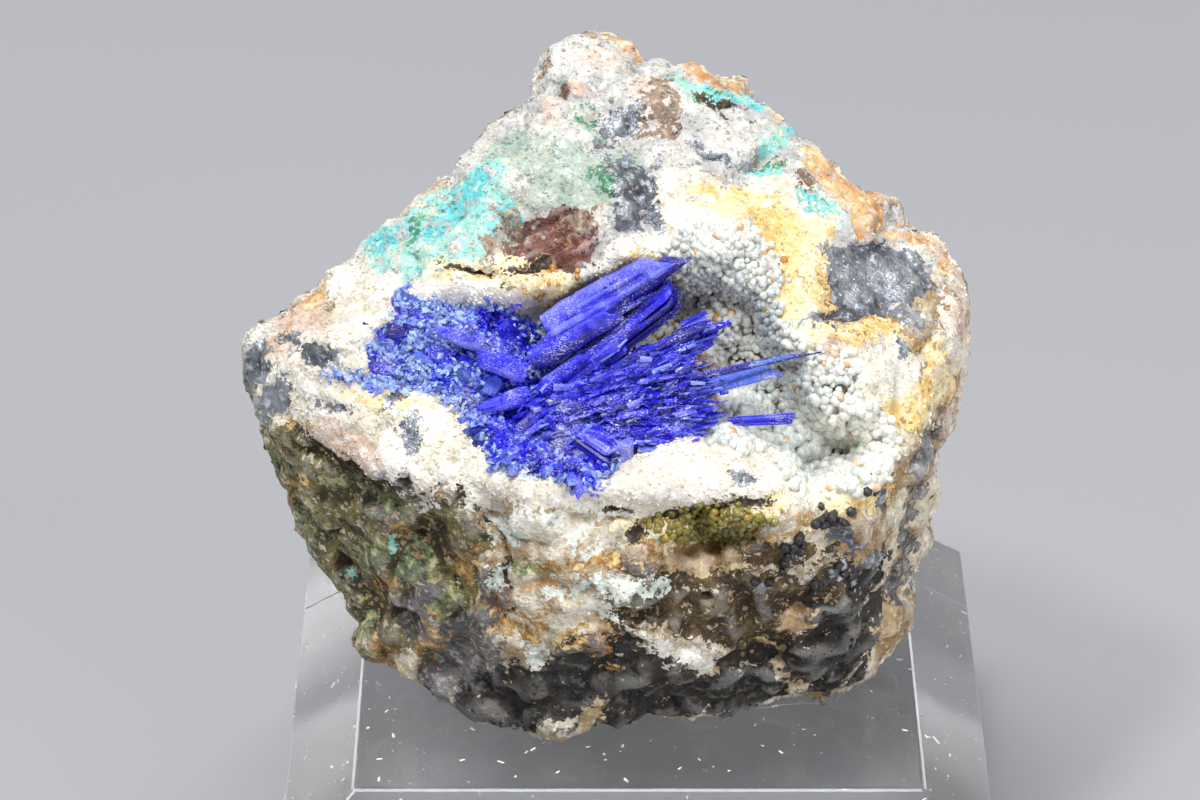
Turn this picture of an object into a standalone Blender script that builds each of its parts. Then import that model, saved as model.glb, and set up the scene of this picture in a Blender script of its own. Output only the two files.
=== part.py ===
"""A linarite specimen tilted up on a clear bevelled stand.

The stone is one piece of broken vein rock. A hollow in its brightest face holds linarite blades
and a crust of pale stubby crystals, and a slot under that face holds a second, smaller crust.

Lengths are in millimetres until an object is made. Points of the stone's front are given in its
face frame: x to the right, up along the tilted face, and out of it towards the viewer.
"""

import math
import random
from dataclasses import dataclass

import bmesh
import bpy
from mathutils import Matrix, Vector, noise
from mathutils.bvhtree import BVHTree

MM = 0.001
FACE_TILT = math.radians(26.5)
GAP = 0.3
ROOM_SPARE = 0.2
FLAT_ANGLE = math.radians(4.0)
ROOM_VOXEL = 0.22

STAND_SIDE = 38.0
STAND_HEIGHT = 12.7
STAND_BEVEL = 4.0

STONE_CENTRE = Vector((-1.0, 4.0, 28.0))
STONE_FACETS = 4400
ROOM_FACETS = 4400
SPHERE_LEVELS = 6

# Corners along the outline that the stone shows to the viewer, from the left tip clockwise.
OUTLINE = [
    (-21.5, 27.8, 16.0), (-18.0, 30.4, 16.5), (-16.2, 31.1, 17.0), (-13.4, 33.5, 17.0),
    (-9.5, 37.5, 16.5), (-7.4, 39.9, 16.0), (-5.2, 42.5, 15.5), (-4.2, 43.8, 15.0),
    (-2.0, 44.4, 14.5), (0.6, 43.7, 14.5), (4.1, 42.1, 14.5), (6.3, 41.1, 15.0),
    (7.1, 39.5, 15.5), (9.1, 38.4, 15.5), (11.2, 36.1, 15.5), (12.2, 34.2, 16.0),
    (13.9, 33.9, 15.5), (16.0, 34.1, 14.0), (17.5, 31.8, 13.5), (18.2, 30.5, 13.5),
    (17.6, 27.8, 13.0), (17.3, 25.1, 13.0), (16.5, 22.9, 13.0), (15.4, 18.6, 12.5),
    (14.9, 16.4, 12.0), (13.8, 14.0, 11.0), (13.8, 11.7, 8.0), (12.1, 9.4, 10.5),
    (10.1, 8.6, 12.0), (6.6, 8.8, 12.0), (3.3, 8.4, 13.0), (0.1, 7.9, 14.0),
    (-3.4, 7.2, 14.8), (-5.2, 7.2, 14.8), (-8.5, 7.9, 14.0), (-9.8, 9.0, 13.0),
    (-12.7, 10.3, 12.0), (-14.4, 11.3, 11.0), (-15.9, 14.4, 10.0), (-17.6, 17.1, 10.5),
    (-19.0, 19.4, 11.5), (-19.9, 21.3, 12.5), (-19.9, 23.7, 14.0), (-20.9, 25.3, 15.0),
]
# Corners along the crest, where the bright face breaks over to the dark sides below it.
CREST = [
    (-19.6, 27.6, 18.0), (-18.9, 25.3, 18.5), (-16.8, 24.1, 20.0), (-14.8, 22.5, 21.5),
    (-13.9, 21.3, 22.5), (-12.3, 21.7, 22.5), (-11.6, 20.8, 23.0), (-9.6, 20.6, 23.5),
    (-5.7, 20.8, 24.0), (-2.6, 20.2, 24.0), (0.0, 19.4, 24.0), (3.1, 19.7, 24.0),
    (5.2, 19.1, 24.0), (7.8, 19.3, 23.5), (10.9, 20.8, 22.5), (12.6, 22.2, 21.0),
    (13.9, 24.0, 20.0), (15.3, 26.7, 18.5), (16.1, 28.4, 17.5),
]
# Corners of the bright face inside its crest.
BRIGHT_FACE = [
    (-9.9, 33.5, 20.0), (-4.2, 38.2, 18.5), (0.6, 38.2, 18.5), (5.8, 36.7, 18.5),
    (-5.2, 33.4, 20.8), (9.5, 33.5, 19.0), (12.7, 31.4, 18.5), (-15.4, 28.0, 21.0),
    (-11.4, 30.3, 21.3), (0.0, 32.9, 21.3), (5.3, 32.3, 21.0), (10.5, 28.7, 20.8),
    (13.7, 26.7, 20.0), (-8.0, 26.5, 22.0), (0.0, 27.5, 22.0), (6.0, 25.0, 22.2),
]
# Corners of the dark sides: the edge below the crest's left end, the front, the left and the right.
DARK_SIDES = [
    (-9.7, 19.9, 22.5), (-8.7, 18.3, 22.0), (-7.8, 16.3, 21.0), (-7.3, 13.4, 19.0),
    (-7.4, 10.2, 16.5), (-4.1, 16.8, 22.5), (-4.1, 12.5, 20.5), (0.0, 16.2, 22.3),
    (0.0, 12.5, 20.0), (3.2, 16.7, 21.0), (3.2, 12.5, 19.5), (6.8, 16.8, 22.0),
    (6.9, 13.5, 19.5), (9.9, 17.8, 21.5), (11.8, 16.7, 20.0), (10.6, 13.5, 17.5),
    (6.4, 11.0, 16.5), (0.1, 10.3, 17.5), (-4.2, 9.8, 17.5), (14.5, 21.4, 18.5),
    (13.5, 18.2, 18.0), (12.3, 14.5, 16.0), (-16.4, 19.8, 15.5), (-13.2, 16.6, 16.5),
    (-11.1, 13.4, 16.5), (-18.0, 21.9, 15.0), (-10.5, 18.2, 19.0),
]
# Corners of the back and the underside, which the viewer doesn't see: x, y and height.
BACK = [
    (-3.0, 10.5, 42.0), (5.0, 9.5, 39.5), (12.0, 7.5, 33.5), (-10.5, 7.5, 36.0),
    (-17.0, 5.5, 30.5), (-12.0, 12.0, 29.5), (-2.0, 14.5, 31.5), (7.0, 13.5, 29.0),
    (15.0, 8.0, 27.0), (-16.0, 5.5, 22.5), (-9.0, 12.5, 20.5), (1.0, 14.0, 20.0),
    (10.0, 11.5, 19.0), (15.0, 4.5, 20.5), (-12.5, 2.5, 16.5), (-9.0, 8.0, 15.0),
    (0.0, 10.5, 13.4), (8.0, 8.5, 13.4), (13.0, 2.5, 14.5), (-5.0, -9.0, 13.2),
    (9.0, -4.5, 13.2), (3.0, 6.5, 13.1), (2.0, -2.0, 13.5), (-6.0, 0.0, 13.9),
]


@dataclass(frozen=True)
class Relief:
    """A rise or a hollow on the stone's front, with an elliptical foot, seen in the face frame."""

    x: float
    up: float
    half_width: float
    half_height: float
    rise: float
    flat: float = 0.4
    turn: float = 0.0


RELIEFS = [
    # Mounds and deeper pockets inside the hollow.
    Relief(4.7, 29.6, 2.6, 2.0, 1.6, 0.2, -30.0),
    Relief(7.0, 27.6, 2.0, 1.6, 1.2, 0.2),
    Relief(5.4, 24.3, 1.9, 1.5, 1.9, 0.2),
    Relief(8.4, 23.6, 1.8, 1.7, 1.3, 0.2),
    Relief(1.4, 29.6, 2.2, 1.8, -0.9, 0.3, 35.0),
    Relief(6.4, 22.9, 1.3, 0.9, -0.7, 0.3),
    # Lumps, shelves and ridges of the bright face round it.
    Relief(4.2, 33.4, 2.8, 1.6, 1.1, 0.3),
    Relief(11.8, 25.8, 2.6, 1.9, 0.8, 0.3, -15.0),
    Relief(11.6, 28.6, 4.2, 0.8, 0.7, 0.2, -5.0),
    Relief(12.0, 30.6, 2.6, 1.7, -0.6, 0.6, 10.0),
    Relief(0.4, 20.7, 7.0, 1.0, 0.8, 0.3, -2.0),
    Relief(-5.2, 33.3, 2.3, 1.9, -0.6, 0.75, 20.0),
    Relief(-8.4, 31.6, 2.6, 0.5, -0.8, 0.2, -18.0),
    Relief(-12.6, 24.2, 3.0, 0.9, 0.5, 0.3, -28.0),
    Relief(0.6, 36.6, 1.9, 1.7, -0.5, 0.6),
    # Pockets, bosses and ledges of the dark sides.
    Relief(7.4, 14.8, 3.6, 2.2, -1.0, 0.4, 20.0),
    Relief(6.6, 11.8, 2.2, 1.3, -1.3, 0.5),
    Relief(-4.8, 16.2, 2.8, 3.4, 0.7, 0.3),
    Relief(-13.6, 20.3, 3.4, 1.1, -1.5, 0.3, -20.0),
    Relief(9.6, 14.0, 2.4, 0.8, 0.8, 0.3, 25.0),
    Relief(-14.0, 15.0, 1.2, 4.0, -0.8, 0.2, 38.0),
    Relief(-1.0, 12.8, 4.4, 0.7, 0.7, 0.2, 6.0),
    Relief(-2.0, 11.2, 4.2, 0.9, -0.8, 0.2, 4.0),
]


@dataclass(frozen=True)
class Basin:
    """A hollow with an outline of its own, its depth at the left and right, and its wall's width."""

    outline: list[tuple[float, float]]
    left: tuple[float, float]
    right: tuple[float, float]
    wall: float


MAIN_HOLLOW = Basin(
    [
        (-15.4, 28.0), (-12.5, 30.6), (-9.9, 31.4), (-7.0, 31.0), (-4.1, 31.1), (-1.5, 32.3), (0.6, 32.6),
        (2.4, 32.3), (4.2, 31.9), (6.3, 31.1), (7.2, 29.8), (7.6, 28.7), (9.5, 27.4), (9.0, 25.9),
        (10.0, 24.6), (12.6, 23.5), (12.7, 22.4), (11.5, 20.9), (9.4, 19.6), (7.9, 19.9), (7.1, 21.4),
        (5.3, 22.2), (3.2, 22.6), (0.6, 21.8), (-1.8, 20.6), (-4.1, 21.0), (-6.7, 22.4), (-10.4, 23.8),
        (-14.1, 25.2),
    ],
    (-15.0, 0.8), (1.0, 4.6), 1.3,
)
LOWER_SLOT = Basin(
    [(-0.2, 17.4), (1.2, 18.5), (3.4, 18.9), (6.0, 19.0), (7.4, 18.7), (6.4, 17.8), (4.2, 17.0), (1.8, 16.7)],
    (-0.2, 1.6), (4.0, 2.8), 0.7,
)


@dataclass(frozen=True)
class Blade:
    """A flat bladed crystal from its root to its tip, which ends in a chisel slanted to one side."""

    root: tuple[float, float, float]
    tip: tuple[float, float, float]
    width: float
    thickness: float
    roll: float = 0.0
    slant: float = 0.0


SPRAY = [
    # The big leaning bundle above, from low left to high right.
    Blade((-5.4, 26.4, 20.6), (2.5, 32.8, 22.3), 2.3, 1.0, 22.0, 0.5),
    Blade((-4.8, 25.6, 20.2), (2.0, 31.0, 21.3), 1.9, 1.2, 48.0, -0.4),
    Blade((-4.8, 27.9, 20.9), (-0.1, 31.6, 22.0), 1.7, 0.9, 12.0, 0.4),
    Blade((-5.4, 25.0, 20.6), (-0.8, 28.4, 21.4), 1.6, 0.9, 30.0, 0.3),
    # The fan below it, whose blades spread to the right from one root.
    Blade((-5.2, 24.8, 20.2), (4.2, 29.0, 20.9), 1.0, 0.6, 20.0, 0.2),
    Blade((-5.2, 24.6, 20.4), (2.9, 27.8, 21.0), 1.6, 0.7, 10.0, 0.3),
    Blade((-5.0, 24.2, 20.8), (3.1, 26.7, 21.4), 1.4, 0.6, 15.0, 0.2),
    Blade((-5.0, 24.4, 21.4), (9.2, 27.6, 22.2), 0.6, 0.45, 30.0, 0.3),
    Blade((2.2, 26.4, 21.2), (8.3, 27.0, 21.7), 1.6, 0.35, 42.0, 0.8),
    Blade((-5.4, 23.6, 20.8), (4.0, 25.7, 21.6), 1.4, 0.7, 20.0, 0.3),
    Blade((-5.0, 23.2, 20.8), (3.8, 24.4, 21.6), 1.3, 0.8, 30.0, 0.2),
    Blade((-4.2, 22.8, 21.2), (3.6, 23.4, 22.0), 1.2, 0.7, 5.0, 0.2),
    # Short blades at the lower left of the fan.
    Blade((-5.2, 24.6, 21.0), (-1.2, 21.6, 22.9), 1.7, 1.0, 20.0, 0.2),
    Blade((-5.8, 24.4, 21.0), (-3.4, 21.5, 23.3), 1.7, 1.0, 30.0, 0.2),
    Blade((-5.6, 25.4, 20.6), (-9.4, 27.2, 21.8), 1.7, 0.9, 15.0, 0.3),
    Blade((-5.8, 26.0, 20.6), (-5.0, 29.2, 21.8), 1.5, 0.9, 20.0, 0.2),
]
# The short blade that shows by itself between the pale crystals on the right.
LONE_BLADE = Blade((4.6, 24.0, 21.2), (8.2, 24.2, 21.6), 0.8, 0.5, 20.0, 0.2)


@dataclass(frozen=True)
class Crust:
    """A crust of crystals over a patch of the stone: the patch's outline, and its crystals' sizes."""

    centre: tuple[float, float]
    outline: list[tuple[float, float]]
    thickness: float
    crystals: int
    crystal: float
    slimness: float
    facets: int
    seed: int


PALE_CRUST = Crust(
    (5.6, 26.2),
    [
        (0.6, 25.6), (-0.9, 28.6), (-0.2, 31.2), (2.4, 32.0), (4.2, 31.4), (6.2, 30.8), (7.4, 29.4),
        (9.4, 27.2), (10.2, 25.2), (12.6, 23.6), (12.6, 22.2), (11.2, 20.8), (9.0, 19.9), (7.6, 21.4),
        (5.0, 22.4), (3.0, 22.9), (1.6, 23.6),
    ],
    0.45, 52, 0.6, 1.3, 2400, 5,
)
SLOT_CRUST = Crust(
    (3.6, 17.9),
    [(0.6, 17.4), (1.8, 18.4), (3.6, 18.7), (5.8, 18.8), (6.6, 18.5), (5.8, 17.7), (4.0, 17.2), (2.0, 17.0)],
    0.4, 10, 0.55, 1.1, 380, 9,
)
BLUE_DRUSE = Crust(
    (-6.6, 25.8),
    [
        (-13.8, 26.1), (-13.7, 27.7), (-12.6, 29.2), (-10.9, 29.2), (-8.8, 30.0), (-6.2, 30.1),
        (-4.1, 29.5), (-3.0, 27.5), (-1.5, 25.6), (-0.2, 24.3), (-1.4, 22.3), (-1.5, 21.2), (-2.7, 21.1),
        (-4.9, 21.6), (-6.7, 22.7), (-7.0, 23.9), (-7.8, 24.9), (-10.4, 25.4), (-12.6, 25.7),
    ],
    0.45, 36, 0.52, 1.8, 2100, 3,
)


def face_to_stand(x, up, out):
    """A point of the face frame in the stand's frame, still in millimetres."""
    return Vector((
        x,
        up * math.sin(FACE_TILT) - out * math.cos(FACE_TILT),
        up * math.cos(FACE_TILT) + out * math.sin(FACE_TILT),
    ))


RIGHT = Vector((1.0, 0.0, 0.0))
UP_FACE = Vector((0.0, math.sin(FACE_TILT), math.cos(FACE_TILT)))
OUT_OF_FACE = Vector((0.0, -math.cos(FACE_TILT), math.sin(FACE_TILT)))


def clear_scene():
    for found in list(bpy.data.objects):
        bpy.data.objects.remove(found)


def material(name, colour, roughness, metallic=0.0, transmission=0.0):
    made = bpy.data.materials.new(name)
    made.use_nodes = True
    shader = made.node_tree.nodes["Principled BSDF"]
    shader.inputs["Base Color"].default_value = (*colour, 1.0)
    shader.inputs["Roughness"].default_value = roughness
    shader.inputs["Metallic"].default_value = metallic
    shader.inputs["Transmission Weight"].default_value = transmission
    return made


def make_object(name, shape, finish):
    """An object in metres from a bmesh in millimetres, with flat faces as on broken rock."""
    bmesh.ops.scale(shape, vec=(MM, MM, MM), verts=shape.verts)
    bmesh.ops.recalc_face_normals(shape, faces=shape.faces)
    mesh = bpy.data.meshes.new(name)
    shape.to_mesh(mesh)
    shape.free()
    mesh.materials.append(finish)
    made = bpy.data.objects.new(name, mesh)
    bpy.context.scene.collection.objects.link(made)
    return made


def hull_of(points):
    """The closed convex shape around the points."""
    shape = bmesh.new()
    for point in points:
        shape.verts.new(point)
    found = bmesh.ops.convex_hull(shape, input=shape.verts)
    inside = [v for v in found["geom_interior"] if isinstance(v, bmesh.types.BMVert)]
    bmesh.ops.delete(shape, geom=inside, context="VERTS")
    bmesh.ops.recalc_face_normals(shape, faces=shape.faces)
    return shape


def solid_through(corners, centre):
    """A search tree of the faceted solid through the corners, which all see the centre."""
    directions = bmesh.new()
    for index, corner in enumerate(corners):
        made = directions.verts.new((corner - centre).normalized())
        made.index = index
    bmesh.ops.convex_hull(directions, input=directions.verts)
    directions.faces.ensure_lookup_table()
    faces = [tuple(v.index for v in face.verts) for face in directions.faces]
    directions.free()
    return BVHTree.FromPolygons(corners, faces)


def eased(share):
    """A share held between 0 and 1 that starts and ends gently."""
    share = min(1.0, max(0.0, share))
    return share * share * (3.0 - 2.0 * share)


def relief_rise(relief, x, up):
    """How far a relief lifts or sinks the front at this place of the face."""
    turn = math.radians(relief.turn)
    across, along = x - relief.x, up - relief.up
    major = (across * math.cos(turn) + along * math.sin(turn)) / relief.half_width
    minor = (along * math.cos(turn) - across * math.sin(turn)) / relief.half_height
    reach = math.hypot(major, minor)
    return relief.rise * (1.0 - eased((reach - relief.flat) / (1.0 - relief.flat)))


def basin_depth(basin, x, up):
    """How deep a hollow with an outline of its own is at this place of the face."""
    inside, nearest = False, 1e9
    for (x1, up1), (x2, up2) in zip(basin.outline, basin.outline[1:] + basin.outline[:1]):
        if (up1 > up) != (up2 > up) and x < x1 + (up - up1) * (x2 - x1) / (up2 - up1):
            inside = not inside
        along = ((x - x1) * (x2 - x1) + (up - up1) * (up2 - up1)) / ((x2 - x1) ** 2 + (up2 - up1) ** 2)
        share = min(1.0, max(0.0, along))
        gap = math.hypot(x - x1 - share * (x2 - x1), up - up1 - share * (up2 - up1))
        nearest = min(nearest, gap)
    if not inside:
        return 0.0
    (left_x, left_depth), (right_x, right_depth) = basin.left, basin.right
    across = eased((x - left_x) / (right_x - left_x))
    return (left_depth + (right_depth - left_depth) * across) * eased(nearest / basin.wall)


def chipped(point, size, amount, seed):
    """The offset of a surface that broke in flat chips of about this size."""
    place = point / size + Vector((seed, 2.0 * seed, 3.0 * seed))
    cell = noise.voronoi(place)[1][0]
    tilt = noise.cell_vector(cell * 7.3) * 2.0 - Vector((1.0, 1.0, 1.0))
    return amount * (place - cell).dot(tilt)


def roughness(point):
    """The broken rock's offset along its normal: big chips, small chips and fine lumps."""
    lumps = noise.fractal(point / 3.0, 0.9, 2.0, 4)
    return chipped(point, 4.5, 0.75, 1.0) + chipped(point, 1.9, 0.36, 5.0) + 0.2 * lumps


def front_share(normal):
    """1 where the stone faces the viewer, falling to 0 where it turns away."""
    return eased((normal.dot(OUT_OF_FACE) + 0.15) / 0.35)


def stone_shape():
    """The whole rock: a faceted body, its hollows and rises, and its broken surface."""
    corners = [face_to_stand(*p) for p in OUTLINE + CREST + BRIGHT_FACE + DARK_SIDES]
    corners += [Vector(p) for p in BACK]
    body = solid_through(corners, STONE_CENTRE)
    shape = bmesh.new()
    bmesh.ops.create_icosphere(shape, subdivisions=SPHERE_LEVELS, radius=1.0)
    for vertex in shape.verts:
        vertex.co = body.ray_cast(STONE_CENTRE, vertex.co.normalized())[0]
    for _ in range(2):
        bmesh.ops.smooth_vert(shape, verts=shape.verts, factor=0.35, use_axis_x=True, use_axis_y=True,
                              use_axis_z=True)
    bmesh.ops.recalc_face_normals(shape, faces=shape.faces)
    shape.normal_update()
    moves = []
    for vertex in shape.verts:
        x, up = vertex.co.dot(RIGHT), vertex.co.dot(UP_FACE)
        rise = sum(relief_rise(relief, x, up) for relief in RELIEFS)
        rise -= basin_depth(MAIN_HOLLOW, x, up) + basin_depth(LOWER_SLOT, x, up)
        front = OUT_OF_FACE * rise * front_share(vertex.normal)
        moves.append(front + vertex.normal * roughness(vertex.co))
    for vertex, move in zip(shape.verts, moves):
        vertex.co += move
    return shape


def seated(shape):
    """The shape with its lowest points worn flat where they rest on the stand."""
    for vertex in shape.verts:
        vertex.co.z = max(vertex.co.z, STAND_HEIGHT + GAP)
    return shape


def holder_of(shape):
    """A passing object with a copy of the shape as its mesh, for a modifier to work on."""
    mesh = bpy.data.meshes.new("holder")
    shape.to_mesh(mesh)
    holder = bpy.data.objects.new("holder", mesh)
    bpy.context.scene.collection.objects.link(holder)
    return holder


def thinned(shape, faces):
    """The shape decimated to about this many triangles."""
    holder = holder_of(shape)
    modifier = holder.modifiers.new("Decimate", "DECIMATE")
    modifier.ratio = faces / len(shape.faces)
    shape.free()
    return evaluated(holder)


def evaluated(holder):
    """The holder's shape with its modifiers applied, in triangles. The holder is removed."""
    graph = bpy.context.evaluated_depsgraph_get()
    done = bmesh.new()
    done.from_object(holder, graph)
    bpy.data.meshes.remove(holder.data)
    bmesh.ops.triangulate(done, faces=done.faces)
    return done


def room_around(shape, facets):
    """A closed body that stands clear of the shape on every side by a little more than the gap."""
    room = shape.copy()
    room.normal_update()
    reach = GAP + ROOM_SPARE
    moves = [vertex.normal * reach * min(1.6, vertex.calc_shell_factor()) for vertex in room.verts]
    for vertex, move in zip(room.verts, moves):
        vertex.co += move
    holder = holder_of(room)
    room.free()
    modifier = holder.modifiers.new("Remesh", "REMESH")
    modifier.mode = "VOXEL"
    modifier.voxel_size = ROOM_VOXEL
    return thinned(evaluated(holder), facets)


def largest_body(shape):
    """The shape without the crumbs that a cut leaves beside its largest body."""
    unseen = set(shape.verts)
    bodies = []
    while unseen:
        body, edge = set(), [unseen.pop()]
        while edge:
            vertex = edge.pop()
            body.add(vertex)
            for link in vertex.link_edges:
                other = link.other_vert(vertex)
                if other in unseen:
                    unseen.remove(other)
                    edge.append(other)
        bodies.append(body)
    bodies.sort(key=len)
    crumbs = [vertex for body in bodies[:-1] for vertex in body]
    bmesh.ops.delete(shape, geom=crumbs, context="VERTS")
    return shape


def together(shapes):
    """Several shapes in one bmesh, still as separate bodies. The shapes are used up."""
    joined = bmesh.new()
    for shape in shapes:
        holder = holder_of(shape)
        joined.from_mesh(holder.data)
        bpy.data.meshes.remove(holder.data)
        shape.free()
    return joined


def combined(first, other, operation):
    """The first shape joined with the other, or cut by it, by an exact Boolean."""
    holder, tool = holder_of(first), holder_of(other)
    first.free()
    modifier = holder.modifiers.new("Boolean", "BOOLEAN")
    modifier.operation = operation
    modifier.object = tool
    modifier.use_self = True
    done = evaluated(holder)
    bpy.data.meshes.remove(tool.data)
    return done


def blade_shape(blade, extra=0.0):
    """A blade as a flat six-sided prism with a chisel tip, made wider by extra on every side."""
    root, tip = face_to_stand(*blade.root), face_to_stand(*blade.tip)
    along = (tip - root).normalized()
    flat = along.cross(OUT_OF_FACE).normalized()
    roll = Matrix.Rotation(math.radians(blade.roll), 3, along)
    wide = roll @ flat
    thick = along.cross(wide).normalized()
    half_width, half_thick = blade.width / 2 + extra, blade.thickness / 2 + extra
    length = (tip - root).length
    section = [(-1.0, 0.0), (-0.72, 1.0), (0.72, 1.0), (1.0, 0.0), (0.72, -1.0), (-0.72, -1.0)]
    points = []
    for reach, scale in ((-extra, 0.62), (0.45 * length, 0.95), (0.84 * length, 1.0)):
        middle = root + along * reach
        points += [middle + wide * a * half_width * scale + thick * b * half_thick * scale for a, b in section]
    point = tip + along * extra
    points += [
        point + wide * half_width * (0.45 + 0.3 * blade.slant) - along * half_width * 0.5 * (1 + blade.slant),
        point - wide * half_width * (0.45 - 0.3 * blade.slant) - along * half_width * 0.5 * (1 - blade.slant),
        point,
    ]
    return hull_of(points)


def stubby_crystal(place, axis, size, slimness, chance):
    """A short six-sided crystal with a low point, standing on a place along an axis."""
    side = axis.cross(Vector((0.31, 0.52, 0.79))).normalized()
    other = axis.cross(side)
    start = chance.uniform(0.0, math.tau)
    points = []
    for height, scale in ((-0.4, 1.0), (0.65 * slimness, 0.78)):
        for corner in range(6):
            angle = start + corner * math.tau / 6
            radius = size * scale * chance.uniform(0.92, 1.08)
            ring = side * math.cos(angle) * radius + other * math.sin(angle) * radius
            points.append(place + axis * height * size * 1.6 + ring)
    return hull_of(points)


def crust_slab(crust, ground):
    """The crust's base over its patch, thick enough to reach well down into the stone."""
    rings, sectors = 5, 2 * len(crust.outline)
    centre = Vector(crust.centre)

    def edge_at(place):
        index = int(place)
        first = Vector(crust.outline[index % len(crust.outline)])
        second = Vector(crust.outline[(index + 1) % len(crust.outline)])
        return first.lerp(second, place - index)

    def surface(x, up):
        near = [(0.0, 0.0), (0.4, 0.0), (-0.4, 0.0), (0.0, 0.4), (0.0, -0.4)]
        hits = [ground.ray_cast(face_to_stand(x + a, up + b, 40.0), -OUT_OF_FACE)[0] for a, b in near]
        return max(hit.dot(OUT_OF_FACE) for hit in hits)

    places = [[centre]]
    for ring in range(1, rings + 1):
        places.append([centre.lerp(edge_at(sector / 2), ring / rings) for sector in range(sectors)])
    outs = [[surface(*place) for place in row] for row in places]
    shape = bmesh.new()
    above = []
    for ring, (row, heights) in enumerate(zip(places, outs)):
        lift = crust.thickness if ring < rings else -0.5
        above.append([shape.verts.new(face_to_stand(*p, out + lift)) for p, out in zip(row, heights)])
    lowest = min(min(heights) for heights in outs) - 1.5
    below = [shape.verts.new(face_to_stand(*place, lowest)) for place in places[-1]]
    for sector in range(sectors):
        after = (sector + 1) % sectors
        shape.faces.new((above[0][0], above[1][sector], above[1][after]))
        for inner, outer in zip(above[1:], above[2:]):
            shape.faces.new((inner[sector], outer[sector], outer[after], inner[after]))
        shape.faces.new((below[sector], below[after], above[-1][after], above[-1][sector]))
    shape.faces.new(below)
    bmesh.ops.triangulate(shape, faces=shape.faces)
    bmesh.ops.recalc_face_normals(shape, faces=shape.faces)
    return shape


def crust_crystals(crust, slab):
    """The crystals that stand on the crust's slab, as separate bodies."""
    chance = random.Random(crust.seed)
    top = BVHTree.FromBMesh(slab)
    centre = Vector(crust.centre)
    crystals = []
    while len(crystals) < crust.crystals:
        corner = chance.randrange(len(crust.outline))
        first = Vector(crust.outline[corner])
        second = Vector(crust.outline[(corner + 1) % len(crust.outline)])
        edge = first.lerp(second, chance.random())
        x, up = centre.lerp(edge, 0.93 * math.sqrt(chance.random()))
        hit, normal = top.ray_cast(face_to_stand(x, up, 40.0), -OUT_OF_FACE)[:2]
        lean = Vector([chance.uniform(-0.5, 0.5) for _ in range(3)])
        axis = (normal + OUT_OF_FACE * 0.6 + lean).normalized()
        size = crust.crystal * chance.uniform(0.75, 1.2)
        crystals.append(stubby_crystal(hit, axis, size, crust.slimness, chance))
    return crystals


def crust_shape(crust, ground, more=()):
    """A crust's slab and crystals, and any more shapes that grow from it, fused to one body."""
    slab = crust_slab(crust, ground)
    grown_on = together([*crust_crystals(crust, slab), *more])
    fused = combined(slab, grown_on, "UNION")
    grown_on.free()
    bmesh.ops.dissolve_limit(fused, angle_limit=FLAT_ANGLE, verts=fused.verts, edges=fused.edges)
    bmesh.ops.triangulate(fused, faces=fused.faces)
    return fused


def cut_clear(shape, *others):
    """The shape cut clear of the others, without crumbs."""
    for other in others:
        shape = combined(shape, other, "DIFFERENCE")
    return largest_body(shape)


def whole_crust(crust, ground, others, more=()):
    """A crust cut clear of the others and thinned to its count of triangles."""
    return thinned(cut_clear(crust_shape(crust, ground, more), *others), crust.facets)


def stand_shape():
    """The clear block with a wide bevel round its top."""
    shape = bmesh.new()
    size = Matrix.Diagonal((STAND_SIDE, STAND_SIDE, STAND_HEIGHT, 1.0))
    lift = Matrix.Translation((0.0, 0.0, STAND_HEIGHT / 2))
    bmesh.ops.create_cube(shape, size=1.0, matrix=lift @ size)
    top = [e for e in shape.edges if min(v.co.z for v in e.verts) > STAND_HEIGHT - GAP]
    bmesh.ops.bevel(shape, geom=top, offset=STAND_BEVEL, segments=1, profile=0.5, affect="EDGES")
    return shape


def main():
    clear_scene()
    acrylic = material("clear_acrylic", (0.95, 0.96, 0.97), 0.03, transmission=1.0)
    rock = material("vein_rock", (0.62, 0.57, 0.47), 0.85)
    blue = material("linarite", (0.02, 0.04, 0.75), 0.12)
    pale = material("pale_crystals", (0.72, 0.76, 0.72), 0.35)

    make_object("display_stand", stand_shape(), acrylic)

    stone = seated(thinned(stone_shape(), STONE_FACETS))
    room = room_around(stone, ROOM_FACETS)
    ground = BVHTree.FromBMesh(room)

    spray_blades = [blade_shape(blade) for blade in SPRAY]
    spray = whole_crust(BLUE_DRUSE, ground, [room], spray_blades)
    lone = cut_clear(blade_shape(LONE_BLADE), room)
    blades_room = together([blade_shape(blade, GAP + ROOM_SPARE) for blade in [*SPRAY, LONE_BLADE]])
    crust = whole_crust(PALE_CRUST, ground, [room, blades_room])
    slot_crust = whole_crust(SLOT_CRUST, ground, [room])

    make_object("linarite_spray", spray, blue)
    make_object("linarite_lone_blade", lone, blue)
    make_object("vug_crust", crust, pale)
    make_object("slot_crust", slot_crust, pale)
    make_object("matrix", stone, rock)


main()
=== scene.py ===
"""A linarite specimen on its clear stand: the looks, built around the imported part."""

import logging
import math
from dataclasses import dataclass, field
from enum import Enum, auto

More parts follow.
